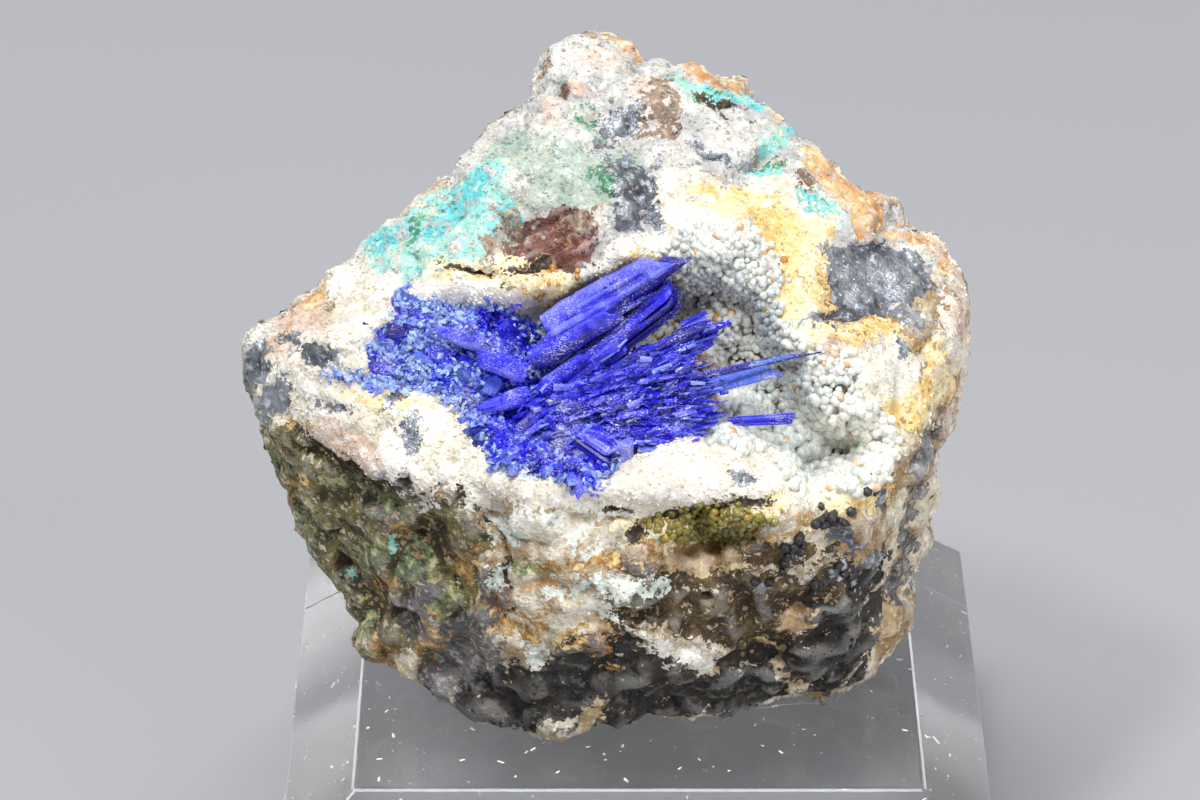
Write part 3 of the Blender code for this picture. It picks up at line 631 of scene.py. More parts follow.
FIELDS = (
    Field(FRONT, (
        (-4.7, 18.0, 5.0, 2.3), (-6.2, 14.6, 2.2, 3.0), (-2.0, 14.6, 2.9, 1.9), (-9.5, 18.8, 1.4, 1.5),
        (0.0, 16.2, 1.6, 1.6), (15.7, 20.9, 1.4, 4.7, -14), (14.9, 16.7, 1.0, 3.7, -14),
    ), -0.6),
    Field(OLIVE, (
        (-15.1, 18.8, 5.0, 5.0, -30), (-17.7, 21.9, 1.8, 2.1), (-12.5, 16.2, 4.2, 4.2, -30),
        (-18.2, 19.9, 1.6, 3.1, -20), (-9.9, 17.5, 1.6, 2.6, -10), (-14.1, 14.6, 3.1, 3.7, -40),
    ), 0.05, 8.0, 3),
    Field(BROWN, (
        (6.3, 14.4, 5.0, 2.2), (3.2, 15.4, 2.9, 2.4), (10.6, 14.5, 2.4, 2.3), (0.0, 14.6, 1.9, 2.4),
        (6.8, 17.5, 3.1, 0.7),
    ), 0.2, 6.0, 5),
    Field(SLATE, (
        (-9.1, 11.2, 2.3, 3.2), (-10.8, 14.0, 1.5, 2.1), (14.7, 23.0, 0.4, 3.1, -14),
        (13.9, 18.3, 0.5, 2.4, -12), (13.2, 15.2, 0.5, 1.8, -10), (-7.5, 13.9, 0.9, 2.6),
    ), 0.15, 7.0, 7),
    Field(CHARCOAL_AND_SHADE, (
        (-2.0, 9.9, 6.8, 2.0), (-7.0, 9.2, 2.3, 1.8), (4.2, 9.9, 3.8, 1.4), (10.0, 12.0, 2.2, 2.7, -20),
        (-4.1, 11.5, 3.1, 1.0, 15), (0.0, 12.0, 3.1, 0.7), (11.5, 15.2, 1.0, 2.6, -10),
        # painted shadow under the crest's ledge
        (-15.6, 22.7, 2.3, 0.5, -28), (-12.9, 21.0, 1.6, 0.4, -10),
    ), 0.3, 4.0, 9),
    Field(TAN, (
        (3.2, 16.9, 2.5, 1.0, 10), (6.4, 12.0, 1.1, 0.6), (-2.6, 8.3, 0.4, 0.9, -5),
        (12.7, 13.2, 0.9, 1.6), (8.4, 13.6, 1.1, 0.6), (0.6, 12.8, 1.0, 0.5),
    ), 0.35, 4.0, 11),
    Field(SAGE, (
        (-18.8, 22.2, 0.7, 2.6, 15), (-17.7, 18.8, 1.3, 1.9, 20), (-15.9, 15.2, 1.0, 1.6, 30),
        (-14.0, 12.6, 0.7, 1.4, 30), (-15.4, 21.4, 1.4, 0.8), (-12.8, 19.9, 1.6, 0.7, 10),
        (-11.4, 16.7, 0.8, 1.4, -20), (-14.3, 17.5, 1.4, 1.0), (-10.4, 14.6, 0.7, 1.6, -20),
        (-5.7, 16.7, 1.6, 0.7), (-7.0, 18.8, 1.4, 0.6), (-1.5, 14.6, 1.0, 0.6),
    ), 0.45, 4.0, 31),
    Field(MILK, (
        (-7.0, 18.8, 1.4, 0.7), (-4.1, 18.8, 1.8, 0.6, -10), (-8.8, 19.9, 1.1, 0.4, -20),
        (-2.0, 17.4, 1.4, 0.6), (-4.1, 15.4, 1.6, 0.7), (-1.3, 15.4, 1.1, 0.7), (-5.7, 12.6, 0.7, 1.0),
        (-2.0, 14.1, 1.1, 0.6), (-7.3, 15.7, 0.6, 0.9), (0.3, 15.4, 0.8, 0.8),
        (1.1, 12.6, 1.4, 0.3, -10), (3.2, 11.8, 1.1, 0.3, -15),
    ), 0.5, 3.0, 33),
    Field(OCHRE, (
        (-17.9, 20.4, 0.6, 0.5), (-18.4, 25.1, 0.4, 1.1, 15), (-15.9, 12.6, 0.7, 0.9, 25),
        (-13.3, 11.8, 1.1, 0.6, -20), (-15.1, 22.2, 0.7, 0.4), (-12.1, 18.8, 0.6, 0.5),
        (-10.9, 12.8, 0.6, 1.1), (-15.4, 14.4, 0.6, 0.5), (-12.8, 15.7, 0.7, 0.4),
        (-5.7, 13.6, 1.4, 0.7, 10), (-7.0, 14.6, 0.7, 0.5), (-8.8, 16.7, 0.5, 0.8),
        (-2.0, 11.8, 0.6, 0.4), (0.6, 18.8, 2.1, 0.4), (4.2, 18.3, 2.6, 0.6), (0.5, 17.5, 0.7, 0.7),
        (6.8, 20.1, 1.6, 0.5, 20), (-2.6, 12.6, 1.2, 0.5, 10), (9.6, 18.9, 1.9, 0.6, 10),
        (-1.5, 16.7, 1.0, 0.5), (-4.1, 16.7, 1.2, 0.5),
    ), 0.45, 3.0, 35),
    Field(QUARTZ, (
        (-2.5, 38.5, 9.0, 5.5, -5), (-11.5, 32.0, 5.0, 2.4, 40), (7.0, 36.5, 6.0, 3.0, -35),
        (-0.5, 33.0, 6.0, 3.0), (12.0, 33.0, 4.0, 2.0, -20), (-18.0, 27.8, 3.5, 2.0, 20),
    ), 0.5, 5.0, 27),
    Field(WHITE, (
        (-15.1, 26.6, 5.0, 3.1, -10), (-11.4, 23.0, 6.0, 2.3, -15), (-8.3, 21.4, 4.7, 1.6),
        (-4.1, 20.5, 3.9, 1.0), (1.1, 20.9, 6.0, 1.6, 2), (5.5, 21.2, 2.6, 1.7),
        (-12.5, 29.8, 3.9, 2.0, -25), (-15.9, 28.8, 2.7, 1.5, 10), (-9.4, 28.7, 5.7, 3.1),
        (3.2, 34.4, 3.1, 2.3), (5.5, 32.3, 2.6, 1.5), (-1.0, 39.6, 1.4, 0.6), (7.9, 35.5, 2.2, 1.5, -30),
        (12.0, 26.4, 2.7, 1.9, 10), (13.9, 27.4, 1.4, 0.8), (9.4, 19.9, 3.2, 0.8, 12),
        (16.8, 31.8, 1.3, 2.3), (15.2, 32.9, 1.9, 0.8), (16.7, 27.2, 1.1, 3.1, 5), (3.0, 27.0, 8.0, 7.0),
    ), 0.35, 5.0, 13),
    Field(BLUSH, (
        (-17.7, 29.5, 1.8, 0.9, 30), (-19.0, 27.7, 1.6, 0.6, 20), (-15.4, 23.0, 2.0, 1.0, -30),
        (10.5, 35.9, 1.5, 1.0, -50), (15.4, 32.6, 1.0, 0.8), (17.0, 30.3, 0.8, 1.9),
        (9.4, 27.1, 1.0, 1.0), (0.0, 40.7, 1.0, 1.0), (-4.9, 40.2, 0.6, 0.5), (-2.0, 42.8, 1.4, 0.5),
        (-3.1, 41.2, 0.8, 0.5), (16.2, 24.0, 0.5, 2.1),
    ), 0.6, 6.0, 37),
    Field(MINT, (
        (-3.4, 36.8, 2.4, 1.8, -10), (-5.1, 37.2, 1.6, 1.0), (-6.2, 38.1, 1.7, 0.8, 40),
        (-0.9, 37.3, 1.3, 1.1), (-4.1, 35.3, 1.6, 0.7), (11.5, 35.5, 1.0, 0.6),
    ), 0.9),
    Field(TURQUOISE, (
        (-9.5, 34.2, 2.7, 2.2, 40), (-10.8, 32.3, 1.9, 1.1, 20), (-8.2, 36.0, 1.9, 1.0, 45),
        (-7.2, 34.1, 1.0, 1.6), (-13.1, 32.9, 1.0, 0.5, 35), (4.3, 40.6, 2.0, 0.45, -20),
        (2.6, 41.0, 1.0, 0.5), (6.6, 38.5, 0.5, 0.6), (5.9, 37.3, 1.4, 0.35, -15), (1.3, 41.0, 0.4, 0.3),
        (8.9, 35.5, 1.1, 0.35, -40), (-18.3, 19.8, 0.2, 0.6), (-14.8, 16.1, 0.4, 0.3),
        (-12.9, 17.8, 0.3, 0.3),
    ), 0.75, 5.0, 15),
    Field(GREEN, (
        (-11.2, 33.8, 0.5, 0.8), (-1.7, 36.4, 0.4, 0.7, -20), (-1.4, 35.5, 0.4, 0.5),
        (-2.6, 39.9, 0.6, 0.4), (-2.0, 39.4, 0.4, 0.4), (4.0, 40.5, 0.6, 0.2, 30), (6.8, 37.6, 0.4, 0.3),
    ), 0.8, 4.0, 17),
    Field(INCLUSION, (
        (-4.9, 33.0, 2.4, 1.7, 25), (-6.3, 32.2, 1.6, 0.9, 20),
    ), 2.0),
    Field(UMBER, (
        (-7.3, 33.1, 0.7, 1.4, -20), (-3.6, 34.2, 1.1, 0.4, 30), (-5.4, 42.8, 0.5, 0.7),
        (-4.1, 41.3, 0.5, 0.6), (0.6, 40.0, 1.4, 1.3, -20), (8.4, 36.6, 0.6, 0.4), (1.1, 38.7, 0.5, 0.5),
    ), 2.0),
    Field(HONEY, (
        (-6.2, 31.4, 4.6, 0.7, -4), (-3.4, 30.3, 1.6, 0.6), (-0.4, 32.0, 1.9, 0.5, 25),
        (5.5, 35.1, 2.1, 0.9), (8.0, 33.8, 1.8, 1.5), (9.3, 30.8, 1.8, 2.5, 10), (8.4, 29.7, 2.2, 1.0),
        (11.5, 28.4, 4.2, 0.5, -4), (14.9, 26.0, 0.9, 2.4, -15), (13.2, 24.5, 1.9, 0.9, 30),
        (12.1, 23.4, 1.6, 0.8), (-12.9, 25.1, 2.2, 0.5, -18), (0.3, 18.7, 1.7, 0.6),
        (6.4, 19.5, 1.4, 0.5), (10.9, 19.8, 2.2, 0.9, 30), (-2.0, 31.6, 1.6, 0.4, 10),
    ), 0.7, 4.0, 19),
    Field(RUST, (
        (2.6, 42.3, 4.6, 0.4, -22), (6.6, 40.1, 0.5, 0.8), (10.6, 36.0, 2.5, 0.7, -50),
        (11.4, 34.8, 1.0, 1.3), (9.2, 37.6, 1.4, 0.5, -35), (14.9, 33.5, 2.2, 0.4, -3),
        (16.1, 32.1, 0.6, 1.1, -30), (-17.1, 30.2, 1.1, 0.5, 30), (13.5, 30.1, 0.4, 0.4),
        (-4.9, 15.4, 1.1, 0.4, 15), (5.0, 29.7, 0.8, 0.4),
    ), 0.6, 3.0, 21),
    Field(GALENA, (
        (0.0, 35.5, 1.3, 1.7, 10), (-0.9, 37.3, 0.6, 0.7), (-0.7, 34.2, 0.9, 0.9), (0.8, 36.5, 0.6, 1.0),
        (12.4, 31.0, 2.2, 1.9, -25), (11.5, 30.3, 1.6, 1.4), (13.8, 30.6, 1.2, 1.4, -20),
        (11.0, 32.4, 1.3, 0.8), (10.0, 29.3, 1.5, 0.4, 5), (13.2, 29.2, 1.6, 0.5, -10),
        (4.0, 37.9, 1.3, 0.4, -15), (5.5, 37.3, 0.6, 0.4), (-1.4, 39.7, 1.0, 0.6),
        (-1.8, 38.5, 0.5, 0.4), (-20.3, 26.4, 0.8, 1.5, -25), (-19.0, 25.0, 0.7, 1.3, -15),
        (-16.8, 27.7, 1.5, 0.7, -10), (-17.6, 28.0, 1.0, 0.4), (-15.8, 24.8, 0.9, 0.4, -15),
        (-13.0, 25.2, 0.6, 0.5), (-12.2, 23.1, 0.6, 0.9, 20), (-14.0, 21.4, 0.6, 0.3),
        (13.5, 27.6, 0.3, 0.3), (10.8, 26.1, 0.4, 0.4, 40), (5.4, 20.9, 0.5, 0.3), (9.7, 18.8, 0.4, 0.3),
        (10.5, 18.5, 0.5, 0.4), (8.2, 17.5, 0.3, 0.3), (9.0, 16.1, 0.4, 0.3), (10.6, 16.1, 0.4, 0.3),
        (6.6, 15.6, 0.3, 0.3), (12.0, 20.0, 0.3, 0.5), (10.6, 17.7, 0.6, 0.5, 10),
        (11.5, 17.2, 0.5, 0.4),
    ), 0.65, 4.0, 23),
    # painted shadow under the crest's ledge and along the crack
    Field(CREVICE_SHADOW, (
        (-8.3, 31.4, 1.6, 0.2, -17), (-5.6, 31.7, 1.9, 0.25, 12), (-15.9, 22.1, 1.6, 0.35, -38),
        (-13.8, 21.1, 1.1, 0.25, -8), (-12.4, 21.2, 0.4, 0.35), (-10.4, 20.4, 0.7, 0.15, -8),
        (-9.3, 19.9, 0.5, 0.2, -30), (-1.5, 19.9, 0.6, 0.15), (-13.8, 19.6, 0.3, 0.25),
        (-10.8, 18.2, 0.35, 0.3), (-15.0, 16.6, 0.35, 0.25), (-17.1, 22.7, 0.8, 0.25, -30),
        (-9.6, 15.9, 0.25, 0.4), (-7.6, 18.2, 1.3, 0.18, -62), (-6.9, 15.6, 1.0, 0.15, -70),
        (-12.6, 14.0, 0.3, 0.25), (-7.3, 17.5, 0.3, 0.2), (2.6, 19.2, 2.1, 0.3, 5),
        (5.5, 19.7, 1.4, 0.25), (0.0, 18.3, 0.3, 0.6), (5.5, 11.8, 1.8, 0.6), (9.4, 12.6, 0.8, 0.4),
        (3.2, 14.6, 0.3, 0.3), (4.3, 40.1, 0.9, 0.2, -30), (-16.1, 18.8, 0.3, 0.25),
    ), 0.8, 2.0, 39),
    # painted shade on the vug floor between the grains
    Field(VUG_FLOOR_SHADE, (
        (1.5, 29.0, 2.2, 2.3), (4.6, 29.4, 2.3, 1.9, -20), (6.4, 27.2, 1.8, 1.8), (5.4, 24.6, 1.9, 1.8),
        (8.6, 24.7, 2.4, 1.8, -10), (10.8, 22.6, 1.8, 1.8, 30), (2.0, 25.6, 2.6, 1.6),
    ), 2.0),
    Field(AZURE, (
        (-9.6, 27.7, 4.2, 2.3, 5), (-6.2, 25.1, 3.1, 2.6, -25), (-3.4, 23.0, 2.9, 2.3, -10),
        (-12.2, 29.7, 0.4, 1.0, -25), (-14.3, 26.2, 1.5, 0.3, -8), (-12.5, 27.7, 1.9, 1.6),
    ), 2.0),
)

PALE = ("white", "honey", "turquoise")


# Meshes.


@dataclass
class Shape:
    """A mesh in the making: points in millimetres, triangles, and values kept at each point."""

    points: np.ndarray
    faces: np.ndarray
    values: dict[str, np.ndarray] = field(default_factory=dict)

    def held_in_box(self) -> "Shape":
        """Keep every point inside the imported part's box.

        Returns:
            The same shape.
        """
        corners = [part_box(name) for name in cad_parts]
        low = np.min([tuple(pair[0]) for pair in corners], axis=0) / MM + BOX_MARGIN
        high = np.max([tuple(pair[1]) for pair in corners], axis=0) / MM - BOX_MARGIN
        self.points = np.clip(self.points, low, high)
        return self

    def made(self, name: str, finish: bpy.types.Material, smooth: bool) -> bpy.types.Object:
        """Make the mesh object.

        Args:
            name: its name.
            finish: its material.
            smooth: true for smooth shading.

        Returns:
            The object, in the scene.
        """
        self.held_in_box()
        mesh = bpy.data.meshes.new(name)
        mesh.vertices.add(len(self.points))
        mesh.vertices.foreach_set("co", (self.points * MM).astype(np.float32).ravel())
        mesh.loops.add(self.faces.size)
        mesh.loops.foreach_set("vertex_index", self.faces.astype(np.int32).ravel())
        mesh.polygons.add(len(self.faces))
        mesh.polygons.foreach_set("loop_start", np.arange(0, self.faces.size, 3, dtype=np.int32))
        mesh.update(calc_edges=True)
        mesh.polygons.foreach_set("use_smooth", np.full(len(self.faces), smooth))
        for key, numbers in self.values.items():
            kept = mesh.attributes.new(key, "FLOAT", "POINT")
            kept.data.foreach_set("value", numbers.astype(np.float32))
        mesh.materials.append(finish)
        mesh.validate()
        thing = bpy.data.objects.new(name, mesh)
        bpy.context.scene.collection.objects.link(thing)
        log.info("%s: %d triangles", name, len(self.faces))
        return thing


def unit(rows: np.ndarray) -> np.ndarray:
    """Each row at length 1."""
    return rows / np.maximum(np.linalg.norm(rows, axis=-1, keepdims=True), 1e-9)


@dataclass
class Surface:
    """A finished surface that crystals can stand on."""

    points: np.ndarray
    normals: np.ndarray
    faces: np.ndarray

    def scattered(
        self,
        count: int,
        chance: np.ndarray,
        dice: np.random.Generator,
        values: dict[str, np.ndarray] | None = None,
    ) -> tuple[np.ndarray, np.ndarray, dict[str, np.ndarray]]:
        """Pick places on the surface.

        Args:
            count: how many.
            chance: how wanted each point of the surface is, from 0.
            dice: the source of chance.
            values: numbers kept at each point of the surface.

        Returns:
            The places, the normals there and the values there.
        """
        corners = self.points[self.faces]
        area = np.linalg.norm(np.cross(corners[:, 1] - corners[:, 0], corners[:, 2] - corners[:, 0]), axis=1)
        wanted = area * chance[self.faces].mean(axis=1)
        picked = dice.choice(len(self.faces), count, p=wanted / wanted.sum())
        share = dice.dirichlet((1.0, 1.0, 1.0), count)[:, :, None]
        places = (corners[picked] * share).sum(axis=1)
        normals = unit((self.normals[self.faces[picked]] * share).sum(axis=1))
        found = {}
        for name, kept in (values or {}).items():
            found[name] = (kept[self.faces[picked]] * share[..., 0]).sum(axis=1)
        return places, normals, found


class Form:
    """Crystal forms of unit size with their axis along z, as points and triangles."""

    @staticmethod
    def spindle(sides: int, rings: tuple[tuple[float, float], ...]) -> tuple[np.ndarray, np.ndarray]:
        """A closed form turned round z.

        Args:
            sides: how many sides it has.
            rings: radius and height of each ring, from the bottom up.

        Returns:
            Its points and triangles.
        """
        angles = np.arange(sides) * 2.0 * math.pi / sides
        points = [
            (radius * math.cos(angle), radius * math.sin(angle), height)
            for radius, height in rings
            for angle in angles
        ]
        faces = []
        for ring in range(len(rings) - 1):
            for side in range(sides):
                a, b = ring * sides + side, ring * sides + (side + 1) % sides
                faces += [(a, b, b + sides), (a, b + sides, a + sides)]
        last = (len(rings) - 1) * sides
        faces += [(0, side + 1, side) for side in range(1, sides - 1)]
        faces += [(last, last + side, last + side + 1) for side in range(1, sides - 1)]
        return np.array(points), np.array(faces)


class Swarm:
    """Many crystals of one form joined in one mesh."""

    def __init__(self, form: tuple[np.ndarray, np.ndarray]) -> None:
        """Start an empty swarm of a form."""
        self.form = form
        self.parts: list[np.ndarray] = []
        self.values: dict[str, list[np.ndarray]] = {}

    def add(
        self,
        places: np.ndarray,
        axes: np.ndarray,
        sizes: np.ndarray,
        turns: np.ndarray,
        **values: np.ndarray,
    ) -> None:
        """Add crystals.

        Args:
            places: where each one's origin is.
            axes: the direction of each one's z.
            sizes: rows of the size in its x, y and z.
            turns: how far each is turned round its axis, in radians.
            values: numbers kept at every point of each crystal.
        """
        points = self.form[0]
        axis = unit(axes)
        helper = np.where(np.abs(axis[:, 2:3]) < 0.9, [[0.0, 0.0, 1.0]], [[1.0, 0.0, 0.0]])
        side = unit(np.cross(helper, axis))
        other = np.cross(axis, side)
        cosine, sine = np.cos(turns)[:, None], np.sin(turns)[:, None]
        first, second = side * cosine + other * sine, other * cosine - side * sine
        local = points[None] * sizes[:, None, :]
        cloud = places[:, None] + local[..., 0:1] * first[:, None] + local[..., 1:2] * second[:, None]
        cloud = cloud + local[..., 2:3] * axis[:, None]
        self.parts.append(cloud.reshape(-1, 3))
        for key, numbers in values.items():
            self.values.setdefault(key, []).append(np.repeat(numbers, len(points)))

    def shape(self) -> Shape:
        """All crystals as one shape."""
        points = np.concatenate(self.parts)
        copies = len(points) // len(self.form[0])
        shift = np.arange(copies)[:, None, None] * len(self.form[0])
        faces = (self.form[1][None] + shift).reshape(-1, 3)
        return Shape(points, faces, {key: np.concatenate(parts) for key, parts in self.values.items()})


# Finishes.


@dataclass(frozen=True)
class Fleck:
    """Small spots of one colour strewn over the stone.

    Size is how far apart they could lie, share how many of those places have one, and sides
    how much fewer there are on the bright face, from 0 to 1.
    """

    colour: tuple
    size: float
    share: float
    radius: float
    sides: float
    salt: float


class StoneFinish:
    """The stone's surface: every mineral in its own place."""

    FLECKS = (
        Fleck(paint(184, 138, 80), 0.7, 0.28, 0.22, 0.7, 3.0),
        Fleck(paint(62, 54, 44), 0.62, 0.36, 0.26, 0.9, 7.0),
        Fleck(paint(228, 222, 206), 0.55, 0.2, 0.24, 0.6, 11.0),
        Fleck(paint(150, 186, 160), 0.9, 0.2, 0.24, 0.8, 17.0),
        Fleck(paint(214, 196, 150), 0.65, 0.28, 0.25, 0.3, 23.0),
    )
    FEWER_IN = (("charcoal_and_shade", 0.42, 0.1), ("galena", 1.0, 0.15), ("brown", 1.0, 0.25))
    WIDE, SMALL, FINE, GRAIN = 2.6, 0.75, 0.22, 0.3
    FIBRE, STRETCH = 0.32, (0.22, 1.0, 1.5)
    BORDER = (-0.04, 0.06)
    DIRT, DIRT_SHARE = (0.42, 0.33, 0.24, 1.0), 0.62
    CREST, CREST_SHARE = (0.9, 0.88, 0.84, 1.0), 0.18
    BUMP = 0.35

    def flecked(
        self, graph: Graph, place: Socket, colour: Socket, fleck: Fleck, fine: Socket
    ) -> Socket:
        """Strew one kind of fleck.

        Args:
            graph: the material.
            place: the place on the object.
            colour: the colour so far.
            fleck: the kind.
            fine: fine noise for ragged edges.

        Returns:
            The colour with the flecks.
        """
        spot = place + fleck.salt
        cell = graph.chance(spot, fleck.size)
        near = graph.cells(spot, fleck.size)
        chosen = (cell - (1.0 - fleck.share)).step(0.0, 0.02)
        inside = (fleck.radius - near + (fine - 0.5) * 0.22).step(-0.05, 0.1)
        where = 1.0 - fleck.sides * graph.value("bright")
        for name, beside, within in self.FEWER_IN:
            where = where * graph.value(name).step(-0.1, 0.1, beside, within)
        return graph.mix(chosen * inside * where, colour, fleck.colour)

    def material(self) -> bpy.types.Material:
        """Build the material.

        Returns:
            The stone's material.
        """
        graph = Graph("stone")
        place = graph.place()
        wide = graph.noise(place, self.WIDE, 3.0, 0.6)
        small = graph.noise(place, self.SMALL, 3.0, 0.6)
        fine = graph.noise(place, self.FINE, 2.0, 0.6)
        edge = (small - 0.5) * 2.0 + (fine - 0.5) * 0.9
        tint = graph.chance(place, self.GRAIN)
        fibres = graph.noise(place * self.STRETCH, self.FIBRE, 3.0, 0.65)
        colour: Socket | None = None
        rough: Socket | float = 0.7
        metal: Socket | float = 0.0
        rise: Socket | float = FRONT.bump
        for item in FIELDS:
            mineral = item.mineral
            own = graph.mix(wide.step(0.42, 0.58), paint(*mineral.main), paint(*mineral.second))
            own = graph.mix(small.step(0.54, 0.66), own, paint(*mineral.specks))
            if mineral.streaks:
                own = own * (fibres * 1.5 + 0.25)
            own = own * (tint * (2.0 * mineral.grain) + (1.0 - mineral.grain)) * (fine * 0.7 + 0.65)
            if colour is None:
                colour = own
                continue
            share = (graph.value(mineral.name) + edge * mineral.ragged).step(*self.BORDER)
            colour = graph.mix(share, colour, own)
            rough = graph.blend(share, rough, mineral.rough)
            metal = graph.blend(share, metal, mineral.metal)
            rise = graph.blend(share, rise, mineral.bump)
        hollow = graph.value("hollow")
        for fleck in self.FLECKS:
            colour = self.flecked(graph, place, colour, fleck, fine)
        colour = colour * (graph.value("tone") * 0.5 + 0.75)
        # darker in hollows and lighter on crests, by how far each point lies below its neighbours
        darker_in_hollows = (hollow + (fine - 0.5) * 0.12).step(0.03, 0.22)
        crest = (hollow * -1.0).step(0.02, 0.2)
        colour = graph.mix(darker_in_hollows * self.DIRT_SHARE, colour, colour * self.DIRT)
        colour = graph.mix(crest * self.CREST_SHARE, colour, self.CREST)
        height = (fine * 0.5 + small * 0.5) * rise
        return graph.surface(
            Base_Color=colour,
            Roughness=rough,
            Metallic=metal,
            Normal=graph.bump(height, self.BUMP),
        )


@dataclass(frozen=True)
class GrainFinish:
    """A crystal finish with a pale and a warm colour, chosen by each crystal's own warmth."""

    name: str
    pale: tuple
    grey: tuple
    warm: tuple
    rough: float = 0.3
    clear: float = 0.0

    def material(self) -> bpy.types.Material:
        """Build the material.

        Returns:
            The crystals' material.
        """
        graph = Graph(self.name)
        place = graph.place()
        fine = graph.noise(place, 0.18, 2.0)
        colour = graph.mix(graph.value("tone"), self.grey, self.pale)
        colour = graph.mix(graph.value("warmth"), colour, self.warm)
        colour = colour * (fine * 0.3 + 0.85)
        return graph.surface(
            Base_Color=colour,
            Roughness=fine.step(0.3, 0.7, self.rough * 0.7, self.rough * 1.3),
            Normal=graph.bump(fine, 0.08),
            Transmission_Weight=self.clear,
            IOR=1.6,
        )


@dataclass(frozen=True)
class BlueFinish:
    """Linarite: a deep blue, glossy and partly clear crystal with striations along its length."""

    name: str
    # The deep end of the blues is partly painted shade of the lower sides, bright a painted violet sheen of
    # lit faces, glint the colour of painted glints.
    deep: tuple = paint(6, 0, 140)
    main: tuple = paint(40, 38, 248)
    bright: tuple = paint(140, 146, 255)
    pale: tuple = paint(150, 186, 255)
    glint: tuple = paint(216, 218, 255)
    rough: float = 0.12
    clear: float = 0.18
    striae: float = 0.05
    glints: float = 0.75

    def material(self) -> bpy.types.Material:
        """Build the material.

        Returns:
            The crystals' material.
        """
        graph = Graph(self.name)
        along, across, tone = graph.value("along"), graph.value("across"), graph.value("tone")
        sides = {0: across * 9.0, 1: along * 0.45, 2: tone * 40.0}
        spot = graph.node("ShaderNodeCombineXYZ", None, sides, 0, Kind.VECTOR)
        lines = graph.noise(spot, 1.0, 3.0, 0.6)
        place = graph.place()
        zones = graph.noise(place, 0.9, 3.0, 0.6)
        etch = graph.noise(place, 0.16, 2.0, 0.6)
        pits = graph.cells(place, 0.14)
        shade = tone + (zones - 0.5) * 1.1
        colour = graph.mix(shade.step(0.0, 0.55), self.deep, self.main)
        colour = graph.mix(shade.step(0.55, 1.15), colour, self.bright)
        colour = graph.mix((graph.value("warmth") + (etch - 0.5) * 0.3).step(0.1, 1.0), colour, self.pale)
        colour = colour * (lines * 1.0 + 0.58)
        # painted glints: pale specks in the colour where reflections would flash on etched facets
        spark = graph.noise(place * (0.5, 1.0, 1.0), 0.07, 2.0, 0.7)
        spark = (spark + (graph.noise(place, 1.7, 2.0) - 0.5) * 0.7).step(0.57, 0.66)
        colour = graph.mix(spark * self.glints, colour, self.glint)
        etched = zones.step(0.42, 0.6)
        height = lines * 0.5 + etch * 0.3 + pits * etched * 0.5
        return graph.surface(
            Base_Color=colour,
            Roughness=lines.step(0.3, 0.75, self.rough * 0.4, self.rough * 1.8),
            Normal=graph.bump(height, self.striae),
            Transmission_Weight=self.clear,
            Specular_IOR_Level=0.32,
            IOR=1.83,
        )


@dataclass(frozen=True)
class AcrylicFinish:
    """Clear acrylic, polished but for its underside."""

    tint: tuple = (0.985, 0.99, 0.99, 1.0)
    polished: float = 0.01
    underside: float = 0.3
    bending: float = 1.49

    def material(self) -> bpy.types.Material:
        """Build the material.

        Returns:
            The stand's material.
        """
        graph = Graph("clear_acrylic")
        height = graph.node("ShaderNodeSeparateXYZ", None, {0: graph.place()}, 2)
        return graph.surface(
            Base_Color=self.tint,
            Roughness=height.step(0.02, 0.1, self.underside, self.polished),
            Transmission_Weight=1.0,
            IOR=self.bending,
        )


# Sub-assemblies.


@dataclass
class StoneSizes:
    """How finely the stone is built, in millimetres."""

    voxel: float = 0.25
    smoothing: int = 6
    druzy: tuple[float, float] = (0.22, 0.12)
    craggy: tuple[float, float, float] = (0.35, 0.25, 0.15)
    lumps: tuple[float, float, float] = (0.28, 0.24, 0.22)
    step: float = 0.22
    sunken: float = 0.25
    striae: float = 0.12
    smooth: float = 0.08
    wander: tuple[float, float] = (0.7, 0.35)
    hollow_rounds: int = 8
    growth: float = 0.22


